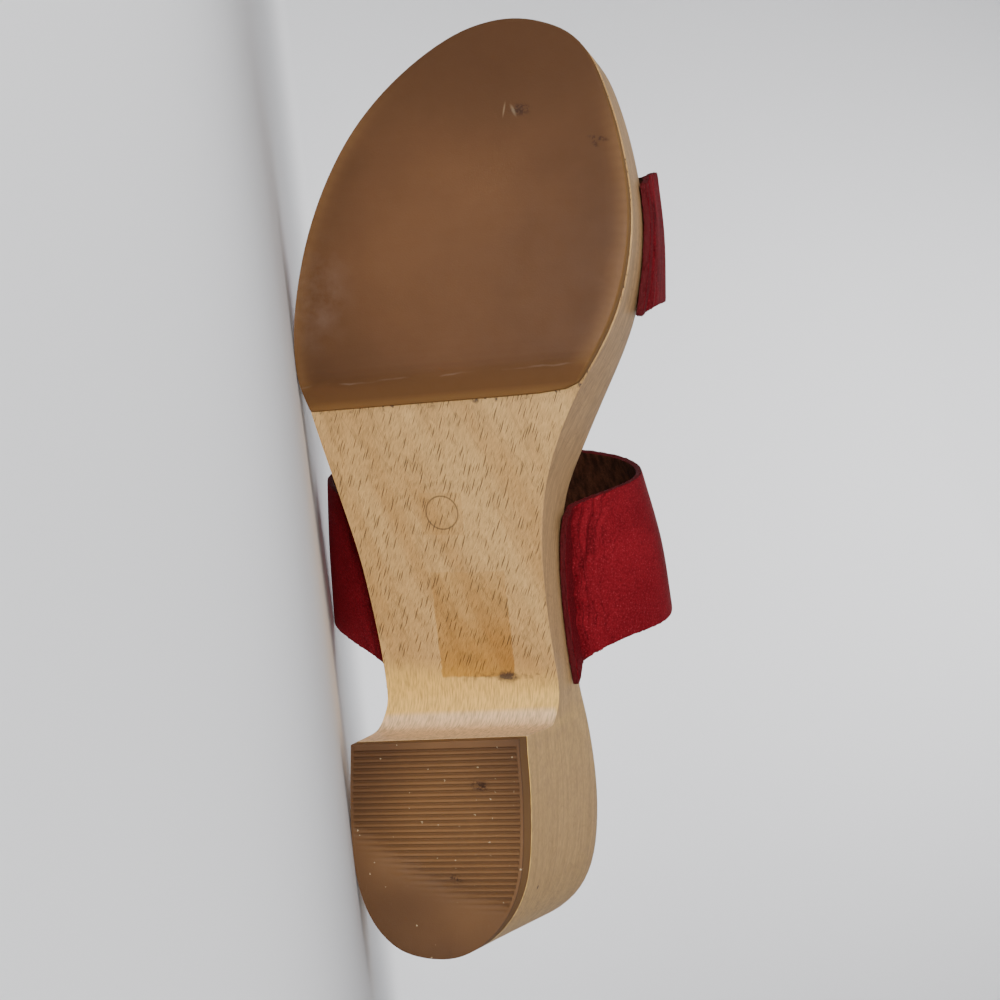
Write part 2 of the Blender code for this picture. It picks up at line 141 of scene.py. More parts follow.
# Marks on the sole's waist, seen from below: middle, half sizes, turn, blur and whether they are square
WAIST_MARKS = {
    "film": ((1.4, 93.8), (10.4, 14.6), math.radians(-5), 0.02, True),
    "small film": ((8.6, 123.0), (5.8, 5.6), math.radians(-3), 0.03, True),
    "ring": ((8.5, 123.3), (4.6, 4.6), 0.0, 0.03),
    "ring hole": ((8.5, 123.3), (4.2, 4.2), 0.0, 0.03),
    "blot": ((-6.6, 80.6), (2.5, 1.25), math.radians(-6), 0.7),
    "smear": ((-1.0, 80.2), (6.5, 0.9), math.radians(-7), 0.7),
    "speck": ((-13.5, 81.5), (3.0, 0.6), math.radians(-7), 0.6),
}

# Folds that follow the straps' roots, in millimetres. reach is measured from the rim of the sole, up the
# leather; lift is the height of a ridge, or the depth of a trough where it is negative.
FOLD_COLUMNS = ("side", "y_rear", "y_front", "reach_rear", "reach_front", "half_width", "lift")
INSTEP_FOLDS = (
    ("in", 74.0, 134.0, 0.4, 0.8, 1.00, -0.42),
    ("in", 92.0, 140.0, 2.2, 3.6, 0.80, 0.30),
    ("in", 97.0, 141.0, 3.2, 5.6, 0.65, -0.36),
    ("in", 102.0, 142.0, 4.4, 7.6, 0.75, 0.36),
    ("in", 106.0, 143.0, 5.4, 9.4, 0.65, -0.33),
    ("in", 108.0, 145.0, 6.6, 11.4, 0.80, 0.27),
    ("in", 112.0, 146.0, 8.0, 13.6, 0.75, -0.22),
    ("in", 114.0, 147.0, 9.6, 16.2, 0.90, 0.17),
    ("in", 72.0, 104.0, 4.0, 2.2, 0.70, 0.27),
    ("in", 74.0, 107.0, 6.0, 3.2, 0.65, -0.30),
    ("in", 76.0, 109.0, 8.0, 4.4, 0.75, 0.27),
    ("in", 80.0, 109.0, 10.0, 5.8, 0.70, -0.22),
    ("in", 82.0, 109.0, 12.4, 7.4, 0.85, 0.17),
    ("out", 68.0, 130.0, 0.4, 0.8, 1.00, -0.39),
    ("out", 90.0, 133.0, 2.4, 3.8, 0.80, 0.27),
    ("out", 94.0, 134.0, 3.6, 6.2, 0.70, -0.30),
    ("out", 98.0, 135.0, 5.0, 8.6, 0.80, 0.24),
    ("out", 102.0, 136.0, 6.6, 11.2, 0.80, -0.18),
    ("out", 66.0, 98.0, 4.6, 2.4, 0.75, 0.24),
    ("out", 68.0, 100.0, 7.0, 3.8, 0.75, -0.24),
    ("out", 70.0, 102.0, 9.6, 5.4, 0.85, 0.18),
)
TOE_FOLDS = (
    ("in", 172.0, 223.0, 0.4, 0.8, 1.00, -0.39),
    ("in", 192.0, 222.0, 2.4, 4.0, 0.75, 0.27),
    ("in", 196.0, 222.0, 3.8, 6.6, 0.70, -0.27),
    ("in", 172.0, 200.0, 4.4, 2.4, 0.75, 0.24),
    ("in", 174.0, 204.0, 7.0, 3.8, 0.75, -0.22),
    ("out", 152.0, 203.0, 0.4, 0.8, 1.00, -0.39),
    ("out", 172.0, 202.0, 2.4, 4.0, 0.75, 0.27),
    ("out", 176.0, 202.0, 3.8, 6.6, 0.70, -0.24),
    ("out", 152.0, 180.0, 4.4, 2.4, 0.75, 0.22),
    ("out", 154.0, 184.0, 7.0, 3.8, 0.75, -0.21),
)
FOLD_FADE = 7.0
FOLD_WAVER = 0.15
WAVER_RATE = 0.4
WAVER_SHIFT = 11.0
FOLD_LEAST = 0.02

# Reach of the leather that is cut finely enough to be folded, and the draw of the frayed edges
FOLDS_FROM = -3.0
FOLDS_TO = 18.0
FRAY_SEED = 3

# Stations along the sole's rim, how near to one a corner of the sole counts, and how far over the rim the
# middle of the foot is, from which the straps' grain sides look away
RIM_REAR = 66.0
RIM_FRONT = 246.0
RIM_STEP = 4.0
RIM_NEAR = 5.0
FOOT_MIDDLE = 8.0
SQUARE_ON = 0.95

# Finishes of a strap: its cut edges, its grain side and its flesh side
CUT_SIDE, GRAIN_SIDE, FLESH_SIDE = range(3)

# The photograph's camera on the standing shoe, in millimetres
EYE = Vector((-71.5, 117.2, -350.0))
PICTURE_UP = Vector((0.050, 0.998, -0.046))


def lying_frame():
    """The standing shoe's axes as it lies in the frame, from the record's two treads."""
    treads = {mount["name"]: mount for mount in frame["record"]["mounts"]}
    heel = Vector(treads["heel_tread"]["pos_m"])
    ball = Vector(treads["forefoot_tread"]["pos_m"])
    up = -Vector(treads["heel_tread"]["axis"]).normalized()
    run = (ball - heel).normalized()
    aside = run.cross(up)
    step = (BALL_TREAD - HEEL_TREAD).normalized()
    out = run * step.x + aside * step.y
    ahead = run * step.y - aside * step.x
    turn = Matrix((out, ahead, up)).transposed().to_4x4()
    return Matrix.Translation(heel - turn @ (HEEL_TREAD * MM)) @ turn


LYING = lying_frame()
STANDING = LYING.inverted()


def srgb(code):
    """Linear colour of an sRGB hex code."""
    parts = [int(code[k:k + 2], 16) / 255 for k in (1, 3, 5)]
    return tuple(c / 12.92 if c <= 0.04045 else ((c + 0.055) / 1.055) ** 2.4 for c in parts) + (1.0,)


def colour(name, code, words):
    """A colour property with an sRGB default."""
    return bpy.props.FloatVectorProperty(
        name=name, description=words, default=srgb(code), size=4, min=0.0, max=1.0, subtype="COLOR")


def length(name, millimetres, words):
    """A length property with its default in millimetres."""
    return bpy.props.FloatProperty(
        name=name, description=words, default=millimetres * MM, min=0.0, unit="LENGTH", precision=5)


class ClogWood(bpy.types.PropertyGroup):
    """Sizes and colours of the beech sole."""

    light: colour("Light wood", "#C49C62", "Early wood between the growth bands")
    dark: colour("Dark wood", "#B48A52", "Late wood in the growth bands")
    wall: colour("Wall", "#BA9263", "Sanded side walls")
    # fillet and breast are the end grain's tone, lightened with painted light where these faces turn towards
    # the toe.
    lit_fillet: colour("Fillet", "#E2B662", "Bright streaked wood above the breast")
    breast: colour("Breast", "#E8C498", "Pale front face of the heel")
    fleck: colour("Flecks", "#4E3C2A", "Rays cut across, as short dark dashes")
    film: colour("Film", "#CDB062", "Clear film aged to amber")
    grime: colour("Grime", "#241C26", "Dark smudge and dirt")
    fleck_spacing: length("Fleck spacing", 0.66, "Distance between flecks across the grain")
    fleck_length: length("Fleck length", 9.2, "Distance between flecks along the grain")


class ClogRubber(bpy.types.PropertyGroup):
    """Sizes and colours of the half sole and heel lift."""

    # brown and lift_brown are the painted light of the treads' lit middles; the shade colours carry the
    # painted shade towards the edges, as well as clouds and wear.
    brown: colour("Brown", "#644226", "Lit middle of the rubber")
    shade: colour("Shade", "#4D3018", "Darker clouds and toe of the rubber")
    lift_brown: colour("Lift brown", "#7C5835", "Lit middle of the heel lift")
    lift_shade: colour("Lift shade", "#553922", "Worn corner and clouds of the heel lift")
    skive: colour("Skive", "#593920", "Rubber behind the half sole's crest")
    amber: colour("Amber", "#8C6637", "Thin edges that let light through")
    glow: colour("Glow", "#805C36", "Light let through inside the half sole's rim")
    # haze also draws the pale line along the half sole's crest, partly a painted highlight.
    haze: colour("Haze", "#857064", "Grey scuffs")
    crumb: colour("Crumbs", "#D8C29A", "Pale grit pressed into the tread")
    # nick also gives the painted shade in the heel lift's grooves.
    nick: colour("Nicks", "#3A2314", "Dark cuts and dents")
    rib_pitch: length("Rib pitch", 1.5, "Distance from rib to rib")
    groove_width: length("Groove width", 1.05, "Width of the grooves between ribs")
    groove_depth: length("Groove depth", 0.45, "Depth of the grooves between ribs")
    border: length("Border", 0.6, "Plain border round the ribs")
    rib_end: length("Rib end", 0.25, "Length of the slope at each end of a groove")
    edge_round: length("Edge rounding", 0.35, "Rounding of the half sole's edges")


class ClogLeather(bpy.types.PropertyGroup):
    """Sizes and colours of the straps."""

    red: colour("Red", "#861A24", "Dyed grain side")
    # deep is the painted shade of the grain side in creases, near the roots and between pebbles, and the
    # darker fibres of the cut edges; bright is for painted glints on the pebble tops.
    deep_red_and_shade: colour("Deep red", "#46050B", "Grain side in creases and near the roots")
    bright: colour("Bright red", "#B24A50", "Polished tops of the pebbles")
    edge: colour("Cut edge", "#52080F", "Dyed cut edges")
    suede: colour("Suede", "#301A10", "Flesh side of the straps")
    pebble: length("Pebble", 0.55, "Size of the grain's pebbles")
    edge_round: length("Edge rounding", 0.5, "Rounding of the cut edges")
    fray: length("Fray", 0.25, "Roughness of the cut edges")


class ClogStage(bpy.types.PropertyGroup):
    """Floor, backdrop and camera."""

    paper: colour("Paper", "#F3F3F5", "Pale floor and backdrop")
    floor_width: length("Floor width", 9000.0, "Width of the floor and backdrop")
    floor_depth: length("Floor depth", 7000.0, "Depth of the floor")
    backdrop: length("Backdrop", 1300.0, "Distance from the shoe to the backdrop")
    wall_height: length("Backdrop height", 2600.0, "Height of the backdrop")
    cove: length("Cove", 350.0, "Radius where the floor turns up into the backdrop")
    lens: bpy.props.FloatProperty(
        name="Lens", description="Focal length of the camera in millimetres", default=50.0, min=1.0)
    clearance: length("Camera clearance", 12.0, "Height of the camera over the floor")


# Settings that nodes share. Held ones stay from 0 to 1.
TIMES = {"operation": "MULTIPLY"}
TIMES_PLUS = {"operation": "MULTIPLY_ADD"}
TIMES_PLUS_HELD = {"operation": "MULTIPLY_ADD", "use_clamp": True}
PLUS_HELD = {"operation": "ADD", "use_clamp": True}
LESS = {"operation": "SUBTRACT"}
LARGER = {"operation": "MAXIMUM"}
NEAR = {"operation": "COMPARE"}
REACH = {"operation": "LENGTH"}
SCALED = {"operation": "SCALE"}
SOFT = {"interpolation_type": "SMOOTHSTEP"}
COLOURS = {"data_type": "RGBA"}
TURNED = {"vector_type": "POINT"}
CENTRED = {"vector_type": "TEXTURE"}
FLAT = {"voronoi_dimensions": "2D"}

# Range in which most of a noise lies
NOISE_RANGE = {"From Min": 0.3, "From Max": 0.7}


def add(tree, kind, settings, sockets):
    """The outputs of a new node, with its settings, and its sockets set to values or linked to outputs."""
    made = tree.nodes.new("ShaderNode" + kind)
    for name, value in settings.items():
        setattr(made, name, value)
    for name, value in sockets.items():
        if isinstance(value, bpy.types.NodeSocket):
            tree.links.new(value, made.inputs[name])
        else:
            made.inputs[name].default_value = value
    return made.outputs


def new_material(name):
    """An empty Principled material, its node tree and its shader."""
    material = bpy.data.materials.new(name)
    material.use_nodes = True
    return material, material.node_tree, material.node_tree.nodes["Principled BSDF"]


def finish(tree, shader, linked, fixed):
    """Links a material's last nodes to its shader and sets the shader's constants."""
    for name, socket in linked.items():
        tree.links.new(socket, shader.inputs[name])
    for name, value in fixed.items():
        shader.inputs[name].default_value = value


def tint(tree, base, share, weight, hue):
    """Lays a colour over a base by a share from 0 to 1, at most as strongly as the weight."""
    strength = add(tree, "Math", TIMES, {0: share, 1: weight})
    return add(tree, "Mix", COLOURS, {0: strength[0], 6: base, 7: hue})[2]


def shoe_place(tree):
    """Places on the standing shoe, in millimetres, from the piece's Object coordinates."""
    spot = add(tree, "TexCoord", {}, {})["Object"]
    stood = add(tree, "Mapping", TURNED, {
        "Vector": spot, "Location": STANDING.translation, "Rotation": STANDING.to_euler()})
    return add(tree, "VectorMath", SCALED, {0: stood[0], "Scale": 1.0 / MM})[0]


def warped(tree, place, scale, detail, push):
    """Places pushed about by a noise, so that what is drawn there wavers."""
    noise = add(tree, "TexNoise", {}, {"Vector": place, "Scale": scale, "Detail": detail})
    return add(tree, "VectorMath", TIMES_PLUS, {0: noise["Color"], 1: push, 2: place})[0]


def streaks(tree, place, rates, detail, roughness=0.5):
    """A noise that changes at its own rate along each axis, per millimetre: a low rate draws it out."""
    space = add(tree, "VectorMath", TIMES, {0: place, 1: rates})
    return add(tree, "TexNoise", {}, {
        "Vector": space[0], "Scale": 1.0, "Detail": detail, "Roughness": roughness})[0]


def patch(tree, place, middle, half, turn, blur, square=False):
    """A mark seen from below, 1 inside and 0 outside, round or square. Sizes are in millimetres."""
    local = add(tree, "Mapping", CENTRED, {
        "Vector": place, "Location": (*middle, 0.0), "Rotation": (0.0, 0.0, turn), "Scale": (*half, 1.0)})
    flat = add(tree, "VectorMath", TIMES, {0: local[0], 1: (1.0, 1.0, 0.0)})
    if square:
        size = add(tree, "VectorMath", {"operation": "ABSOLUTE"}, {0: flat[0]})
        axes = add(tree, "SeparateXYZ", {}, {0: size[0]})
        reach = add(tree, "Math", LARGER, {0: axes[0], 1: axes[1]})[0]
    else:
        reach = add(tree, "VectorMath", REACH, {0: flat[0]})["Value"]
    return add(tree, "MapRange", SOFT, {"Value": reach, "From Min": 1.0 + blur, "From Max": 1.0 - blur})[0]


def select_only(piece):
    """Makes a piece the only one selected, and active."""
    bpy.ops.object.select_all(action="DESELECT")
    piece.select_set(True)
    bpy.context.view_layer.objects.active = piece


def stand_copy(node, name):
    """A merged copy of a CAD node in quads, stood up in the shoe's own axes."""
    select_only(frame["nodes"][node])
    bpy.ops.object.duplicate()
    piece = bpy.context.view_layer.objects.active
    bpy.ops.object.parent_clear(type="CLEAR")
    piece.name = name
    piece.data.name = name
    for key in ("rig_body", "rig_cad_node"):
        del piece[key]
    piece.data.materials.clear()
    piece.matrix_world = STANDING
    bpy.ops.object.transform_apply()
    bpy.ops.object.mode_set(mode="EDIT")
    bpy.ops.mesh.select_all(action="SELECT")
    bpy.ops.mesh.customdata_custom_splitnormals_clear()
    bpy.ops.mesh.remove_doubles(threshold=WELD)
    bpy.ops.mesh.mark_sharp(clear=True)
    bpy.ops.mesh.tris_convert_to_quads(face_threshold=QUAD_ANGLE, shape_threshold=QUAD_ANGLE)
    bpy.ops.object.mode_set(mode="OBJECT")
    return piece


def select_faces(piece, chosen):
    """Leaves the piece in edit mode with only the chosen faces selected."""
    select_only(piece)
    bpy.ops.object.mode_set(mode="EDIT")
    bpy.ops.mesh.select_mode(type="FACE")
    bpy.ops.mesh.select_all(action="DESELECT")
    shape = bmesh.from_edit_mesh(piece.data)
    for face in shape.faces:
        face.select_set(bool(chosen[face.index]))
    bmesh.update_edit_mesh(piece.data)


def select_edges(piece, chosen):
    """Leaves only those edges of a piece in edit mode selected whose two ends are both chosen."""
    bpy.ops.mesh.select_all(action="DESELECT")
    shape = bmesh.from_edit_mesh(piece.data)
    for edge in shape.edges:
        edge.select_set(all(chosen(vert.co) for vert in edge.verts))
    bmesh.update_edit_mesh(piece.data)


def select_sharp(piece):
    """Leaves the piece in edit mode with only its sharp edges selected."""
    select_only(piece)
    bpy.ops.object.mode_set(mode="EDIT")
    bpy.ops.mesh.select_mode(type="EDGE")
    bpy.ops.mesh.select_all(action="DESELECT")
    bpy.ops.mesh.edges_select_sharp(sharpness=CUT_EDGE_ANGLE)


def round_edges(piece, radius):
    """Rounds a piece's sharp edges."""
    select_sharp(piece)
    bpy.ops.mesh.bevel(offset=radius, segments=2)
    bpy.ops.object.mode_set(mode="OBJECT")


def cut_finer(piece, chosen, cuts):
    """Divides the chosen faces of a piece."""
    select_faces(piece, chosen)
    bpy.ops.mesh.subdivide(number_cuts=cuts)
    bpy.ops.object.mode_set(mode="OBJECT")


def subdivide(piece, levels):
    """Smooths a piece's mesh with an applied Subdivision Surface."""
    select_only(piece)
    surface = piece.modifiers.new("smooth form", "SUBSURF")
    surface.levels = levels
    surface.render_levels = levels
    bpy.ops.object.modifier_apply(modifier=surface.name)


def triples(rows, name):
    """The three numbers that each row of a mesh's table has under a name."""
    numbers = np.empty(3 * len(rows))
    rows.foreach_get(name, numbers)
    return numbers.reshape(-1, 3)


def points_of(piece):
    """A piece's points and their normals, in the shoe's axes, in millimetres."""
    return triples(piece.data.vertices, "co") / MM, triples(piece.data.vertex_normals, "vector")


def faces_of(piece):
    """The middles and normals of a piece's faces, in the shoe's axes, in millimetres."""
    return triples(piece.data.polygons, "center") / MM, triples(piece.data.polygons, "normal")


def finishes(piece):
    """The number of the material on each face of a piece."""
    numbers = np.empty(len(piece.data.polygons), np.int32)
    piece.data.polygons.foreach_get("material_index", numbers)
    return numbers


def store(piece, name, values):
    """Keeps one number for each point of a piece, for its material to read."""
    attribute = piece.data.attributes.new(name, "FLOAT", "POINT")
    attribute.data.foreach_set("value", np.asarray(values, np.float32))


def lay_down(piece, node):
    """Lays a finished piece in its node's place, and lets it stand for the node."""
    select_only(piece)
    bpy.ops.object.shade_smooth_by_angle(angle=SHARP_ANGLE)
    piece.matrix_world = LYING
    bpy.ops.object.transform_apply()
    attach(piece, "root")
    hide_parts(node)


def smooth_step(value):
    """An even rise from 0 to 1 as the value goes from 0 to 1."""
    value = np.clip(value, 0.0, 1.0)
    return value * value * (3.0 - 2.0 * value)


# Oiled beech, milled and sanded: pale tan, short dark ray flecks below, a faint satin
def beech(look):
    """Growth bands, ray flecks, end grain lightened with painted light, bare film patches and dirt, in the
    shoe's millimetres.
    """
    material, tree, shader = new_material("oiled beech")
    place = shoe_place(tree)
    axes = add(tree, "SeparateXYZ", {}, {0: place})
    below, level, front = (
        add(tree, "Attribute", {"attribute_name": kept}, {})["Fac"]
        for kept in ("underside", "level", "front"))
    near_breast = add(tree, "MapRange", SOFT, {"Value": axes[1], "From Min": 84.0, "From Max": 75.0})

    shifted = warped(tree, place, 0.35, 2.0, (0.3, 0.3, 0.0))
    grain = add(tree, "Mapping", TURNED, {"Vector": shifted, "Rotation": (0.0, 0.0, FLECK_LEAN)})
    fronting = add(tree, "Math", LARGER, {0: below, 1: front})
    end_face = add(tree, "Math", TIMES, {0: near_breast[0], 1: fronting[0]})
    facing = add(tree, "MapRange", {}, {"Value": level, "From Min": 0.72, "From Max": 0.93})
    sanded = add(tree, "MapRange", {}, {"Value": below, "To Min": 0.5, "To Max": 1.0})
    faced = add(tree, "Math", TIMES, {0: facing[0], 1: sanded[0]})
    bare = add(tree, "Math", {"operation": "SUBTRACT", "use_clamp": True}, {0: faced[0], 1: end_face[0]})
    dashes = []
    for share, weight in FLECK_SIZES:
        dash_cells = add(tree, "VectorMath", TIMES, {
            0: grain[0], 1: (MM / (share * look.fleck_spacing), MM / (share * look.fleck_length), 0.0)})
        cells = add(tree, "TexVoronoi", FLAT, {"Vector": dash_cells[0], "Scale": 1.0, "Randomness": 0.85})
        chance = add(tree, "SeparateColor", {}, {0: cells["Color"]})
        radius = add(tree, "MapRange", {}, {"Value": chance[0], "To Min": 0.08, "To Max": 0.26})
        inside = add(tree, "Math", LESS, {0: radius[0], 1: cells["Distance"]})
        dashes.append(add(tree, "MapRange", SOFT, {
            "Value": inside[0], "From Min": 0.0, "From Max": 0.10, "To Max": weight})[0])
    dash = add(tree, "Math", LARGER, {0: dashes[0], 1: dashes[1]})
    flecks = add(tree, "Math", TIMES, {0: dash[0], 1: bare[0]})

    rings = add(tree, "Mapping", TURNED, {"Vector": place, "Rotation": (0.0, 0.0, BAND_LEAN)})
    bands = streaks(tree, rings[0], (0.11, 0.006, 0.05), 3.0)
    band = add(tree, "MapRange", {}, {"Value": bands, "From Min": 0.38, "From Max": 0.62})
    wood = add(tree, "Mix", COLOURS, {0: band[0], 6: look.light, 7: look.dark})
    band_line = add(tree, "Math", NEAR, {0: bands, 1: 0.5, 2: 0.006})
    upright = add(tree, "MapRange", {}, {"Value": level, "From Min": 0.85, "From Max": 0.45})
    walled = add(tree, "Mix", COLOURS, {0: upright[0], 6: wood[2], 7: look.wall})

    fine = streaks(tree, grain[0], (2.4, 0.26, 1.5), 4.0)
    long = streaks(tree, place, (0.25, 0.018, 0.55), 5.0, 0.65)
    fine_tone = add(tree, "MapRange", {}, {"Value": fine, **NOISE_RANGE, "To Min": 0.82, "To Max": 1.12})
    long_low = add(tree, "MapRange", {}, {"Value": upright[0], "To Min": 0.97, "To Max": 0.78})
    long_tone = add(tree, "MapRange", {}, {
        "Value": long, "From Min": 0.36, "From Max": 0.62, "To Min": long_low[0], "To Max": 1.06})
    line_tone = add(tree, "Math", TIMES_PLUS, {0: band_line[0], 1: -0.12, 2: 1.0})
    tone_pair = add(tree, "Math", TIMES, {0: fine_tone[0], 1: long_tone[0]})
    tone = add(tree, "Math", TIMES, {0: tone_pair[0], 1: line_tone[0]})
    streaked = add(tree, "VectorMath", SCALED, {0: walled[2], "Scale": tone[0]})

    pores = streaks(tree, place, (2.6, 0.30, 0.30), 3.0)
    speckle = add(tree, "MapRange", {}, {
        "Value": pores, "From Min": 0.40, "From Max": 0.68, "To Min": 1.06, "To Max": 0.62})
    # Partly painted light: end grain near the breast drawn lighter where it faces the toe, palest on the
    # breast itself.
    upright_front = add(tree, "MapRange", SOFT, {"Value": front, "From Min": 0.55, "From Max": 1.0})
    lit_end_grain = add(tree, "Mix", COLOURS, {0: upright_front[0], 6: look.lit_fillet, 7: look.breast})
    speckled = add(tree, "VectorMath", SCALED, {0: lit_end_grain[2], "Scale": speckle[0]})
    ended = add(tree, "Mix", COLOURS, {0: end_face[0], 6: streaked[0], 7: speckled[0]})
    flecked = add(tree, "Mix", COLOURS, {0: flecks[0], 6: ended[2], 7: look.fleck})

    film_patch = patch(tree, warped(tree, place, 0.5, 3.0, (1.2, 1.2, 0.0)), *WAIST_MARKS["film"])
    small_patch = patch(tree, place, *WAIST_MARKS["small film"])
    ring_out, ring_in = (patch(tree, place, *WAIST_MARKS[name]) for name in ("ring", "ring hole"))
    ring_line = add(tree, "Math", LESS, {0: ring_out, 1: ring_in})
    cloud = add(tree, "TexNoise", {}, {"Vector": place, "Scale": 0.12, "Detail": 3.0})
    film_low = add(tree, "MapRange", {}, {
        "Value": axes[1], "From Min": 108.0, "From Max": 84.0, "To Min": 0.05, "To Max": 0.52})
    film_cloud = add(tree, "Math", TIMES_PLUS, {0: cloud[0], 1: 0.3, 2: film_low[0]})
    big_film = add(tree, "Math", TIMES, {0: film_patch, 1: film_cloud[0]})
    faint_film = add(tree, "Math", TIMES_PLUS, {0: small_patch, 1: 0.16, 2: big_film[0]})
    film_weight = add(tree, "Math", {"operation": "MULTIPLY", "use_clamp": True}, {
        0: faint_film[0], 1: below})
    filmed = add(tree, "Mix", {"data_type": "RGBA", "blend_type": "MULTIPLY"}, {
        0: film_weight[0], 6: flecked[2], 7: look.film})
    burnt = add(tree, "Math", TIMES, {0: ring_line[0], 1: below})
    ringed = tint(tree, filmed[2], burnt[0], 0.7, look.fleck)

    smudge_noise = add(tree, "TexNoise", {}, {"Vector": place, "Scale": 0.7, "Detail": 4.0})
    smudge_place = add(tree, "VectorMath", TIMES_PLUS, {
        0: smudge_noise["Color"], 1: (4.0, 2.6, 0.0), 2: place})
    blot, smear, speck = (
        patch(tree, smudge_place[0], *WAIST_MARKS[name]) for name in ("blot", "smear", "speck"))
    trail = add(tree, "Math", LARGER, {0: smear, 1: speck})
    grit = add(tree, "MapRange", {}, {"Value": smudge_noise[0], "From Min": 0.42, "From Max": 0.60})
    broken = add(tree, "Math", TIMES, {0: trail[0], 1: grit[0]})
    blotted = add(tree, "Math", TIMES_PLUS, {0: broken[0], 1: 0.55, 2: blot})
    seam = add(tree, "Math", TIMES_PLUS, {0: axes[0], 1: RUBBER_SKEW, 2: axes[1]})
    seam_near = add(tree, "MapRange", {}, {
        "Value": seam[0], "From Min": RUBBER_END - 1.6, "From Max": RUBBER_END})
    crumb_noise = add(tree, "TexNoise", {}, {"Vector": place, "Scale": 0.6, "Detail": 4.0})
    crumbs = add(tree, "MapRange", {}, {"Value": crumb_noise[0], "From Min": 0.60, "From Max": 0.68})
    seam_dirt = add(tree, "Math", TIMES, {0: crumbs[0], 1: seam_near[0]})
    dirt = add(tree, "Math", PLUS_HELD, {0: blotted[0], 1: seam_dirt[0]})
    dirt_below = add(tree, "Math", TIMES, {0: dirt[0], 1: below})
    dot_place = add(tree, "Mapping", CENTRED, {
        "Vector": place, "Location": (-25.0, 27.0, 17.0), "Scale": (20.0, 1.0, 1.0)})
    dot_reach = add(tree, "VectorMath", REACH, {0: dot_place[0]})
    dot = add(tree, "MapRange", {}, {"Value": dot_reach["Value"], "From Min": 0.7, "From Max": 0.4})
    dirty = add(tree, "Math", LARGER, {0: dirt_below[0], 1: dot[0]})
    final = tint(tree, ringed, dirty[0], 0.85, look.grime)

    gloss = add(tree, "MapRange", {}, {"Value": film_weight[0], "To Min": 0.60, "To Max": 0.34})
    height = add(tree, "Math", TIMES_PLUS, {0: flecks[0], 1: -0.8, 2: fine})
    bump = add(tree, "Bump", {}, {"Strength": 0.5, "Distance": 0.12 * MM, "Height": height[0]})
    finish(tree, shader, {"Base Color": final, "Roughness": gloss[0], "Normal": bump[0]}, {"IOR": 1.42})
    return material


def skived(tree, look, place, body, crest):
    """Browner rubber behind the crest of the half sole's skive, and pale lines along that crest: rubbed wear
    with a painted highlight.
    """
    axes = add(tree, "SeparateXYZ", {}, {0: place})
    waver = add(tree, "TexNoise", {}, {"Vector": place, "Scale": 0.09, "Detail": 3.0})
    ahead = add(tree, "Math", TIMES_PLUS, {0: axes[0], 1: RUBBER_SKEW, 2: axes[1]})
    ahead = add(tree, "Math", TIMES_PLUS, {0: waver[0], 1: 2.4, 2: ahead[0]})
    behind = add(tree, "MapRange", SOFT, {
        "Value": ahead[0], "From Min": crest + 0.9, "From Max": crest - 0.5, "To Max": 0.8})
    dark = add(tree, "Mix", COLOURS, {0: behind[0], 6: body, 7: look.skive})
    # Partly painted light: a pale line along the crest, rubbed wear with a painted highlight on the ridge.
    line = add(tree, "Math", NEAR, {0: ahead[0], 1: crest + 0.9, 2: 0.2})
    breaks = add(tree, "TexNoise", {}, {"Vector": place, "Scale": 0.11, "Detail": 2.0})
    kept = add(tree, "MapRange", {}, {"Value": breaks[0], "From Min": 0.42, "From Max": 0.66, "To Max": 0.3})
    rubbed = add(tree, "Math", TIMES, {0: line[0], 1: kept[0]})
    return add(tree, "Mix", COLOURS, {0: rubbed[0], 6: dark[2], 7: look.haze})[2]


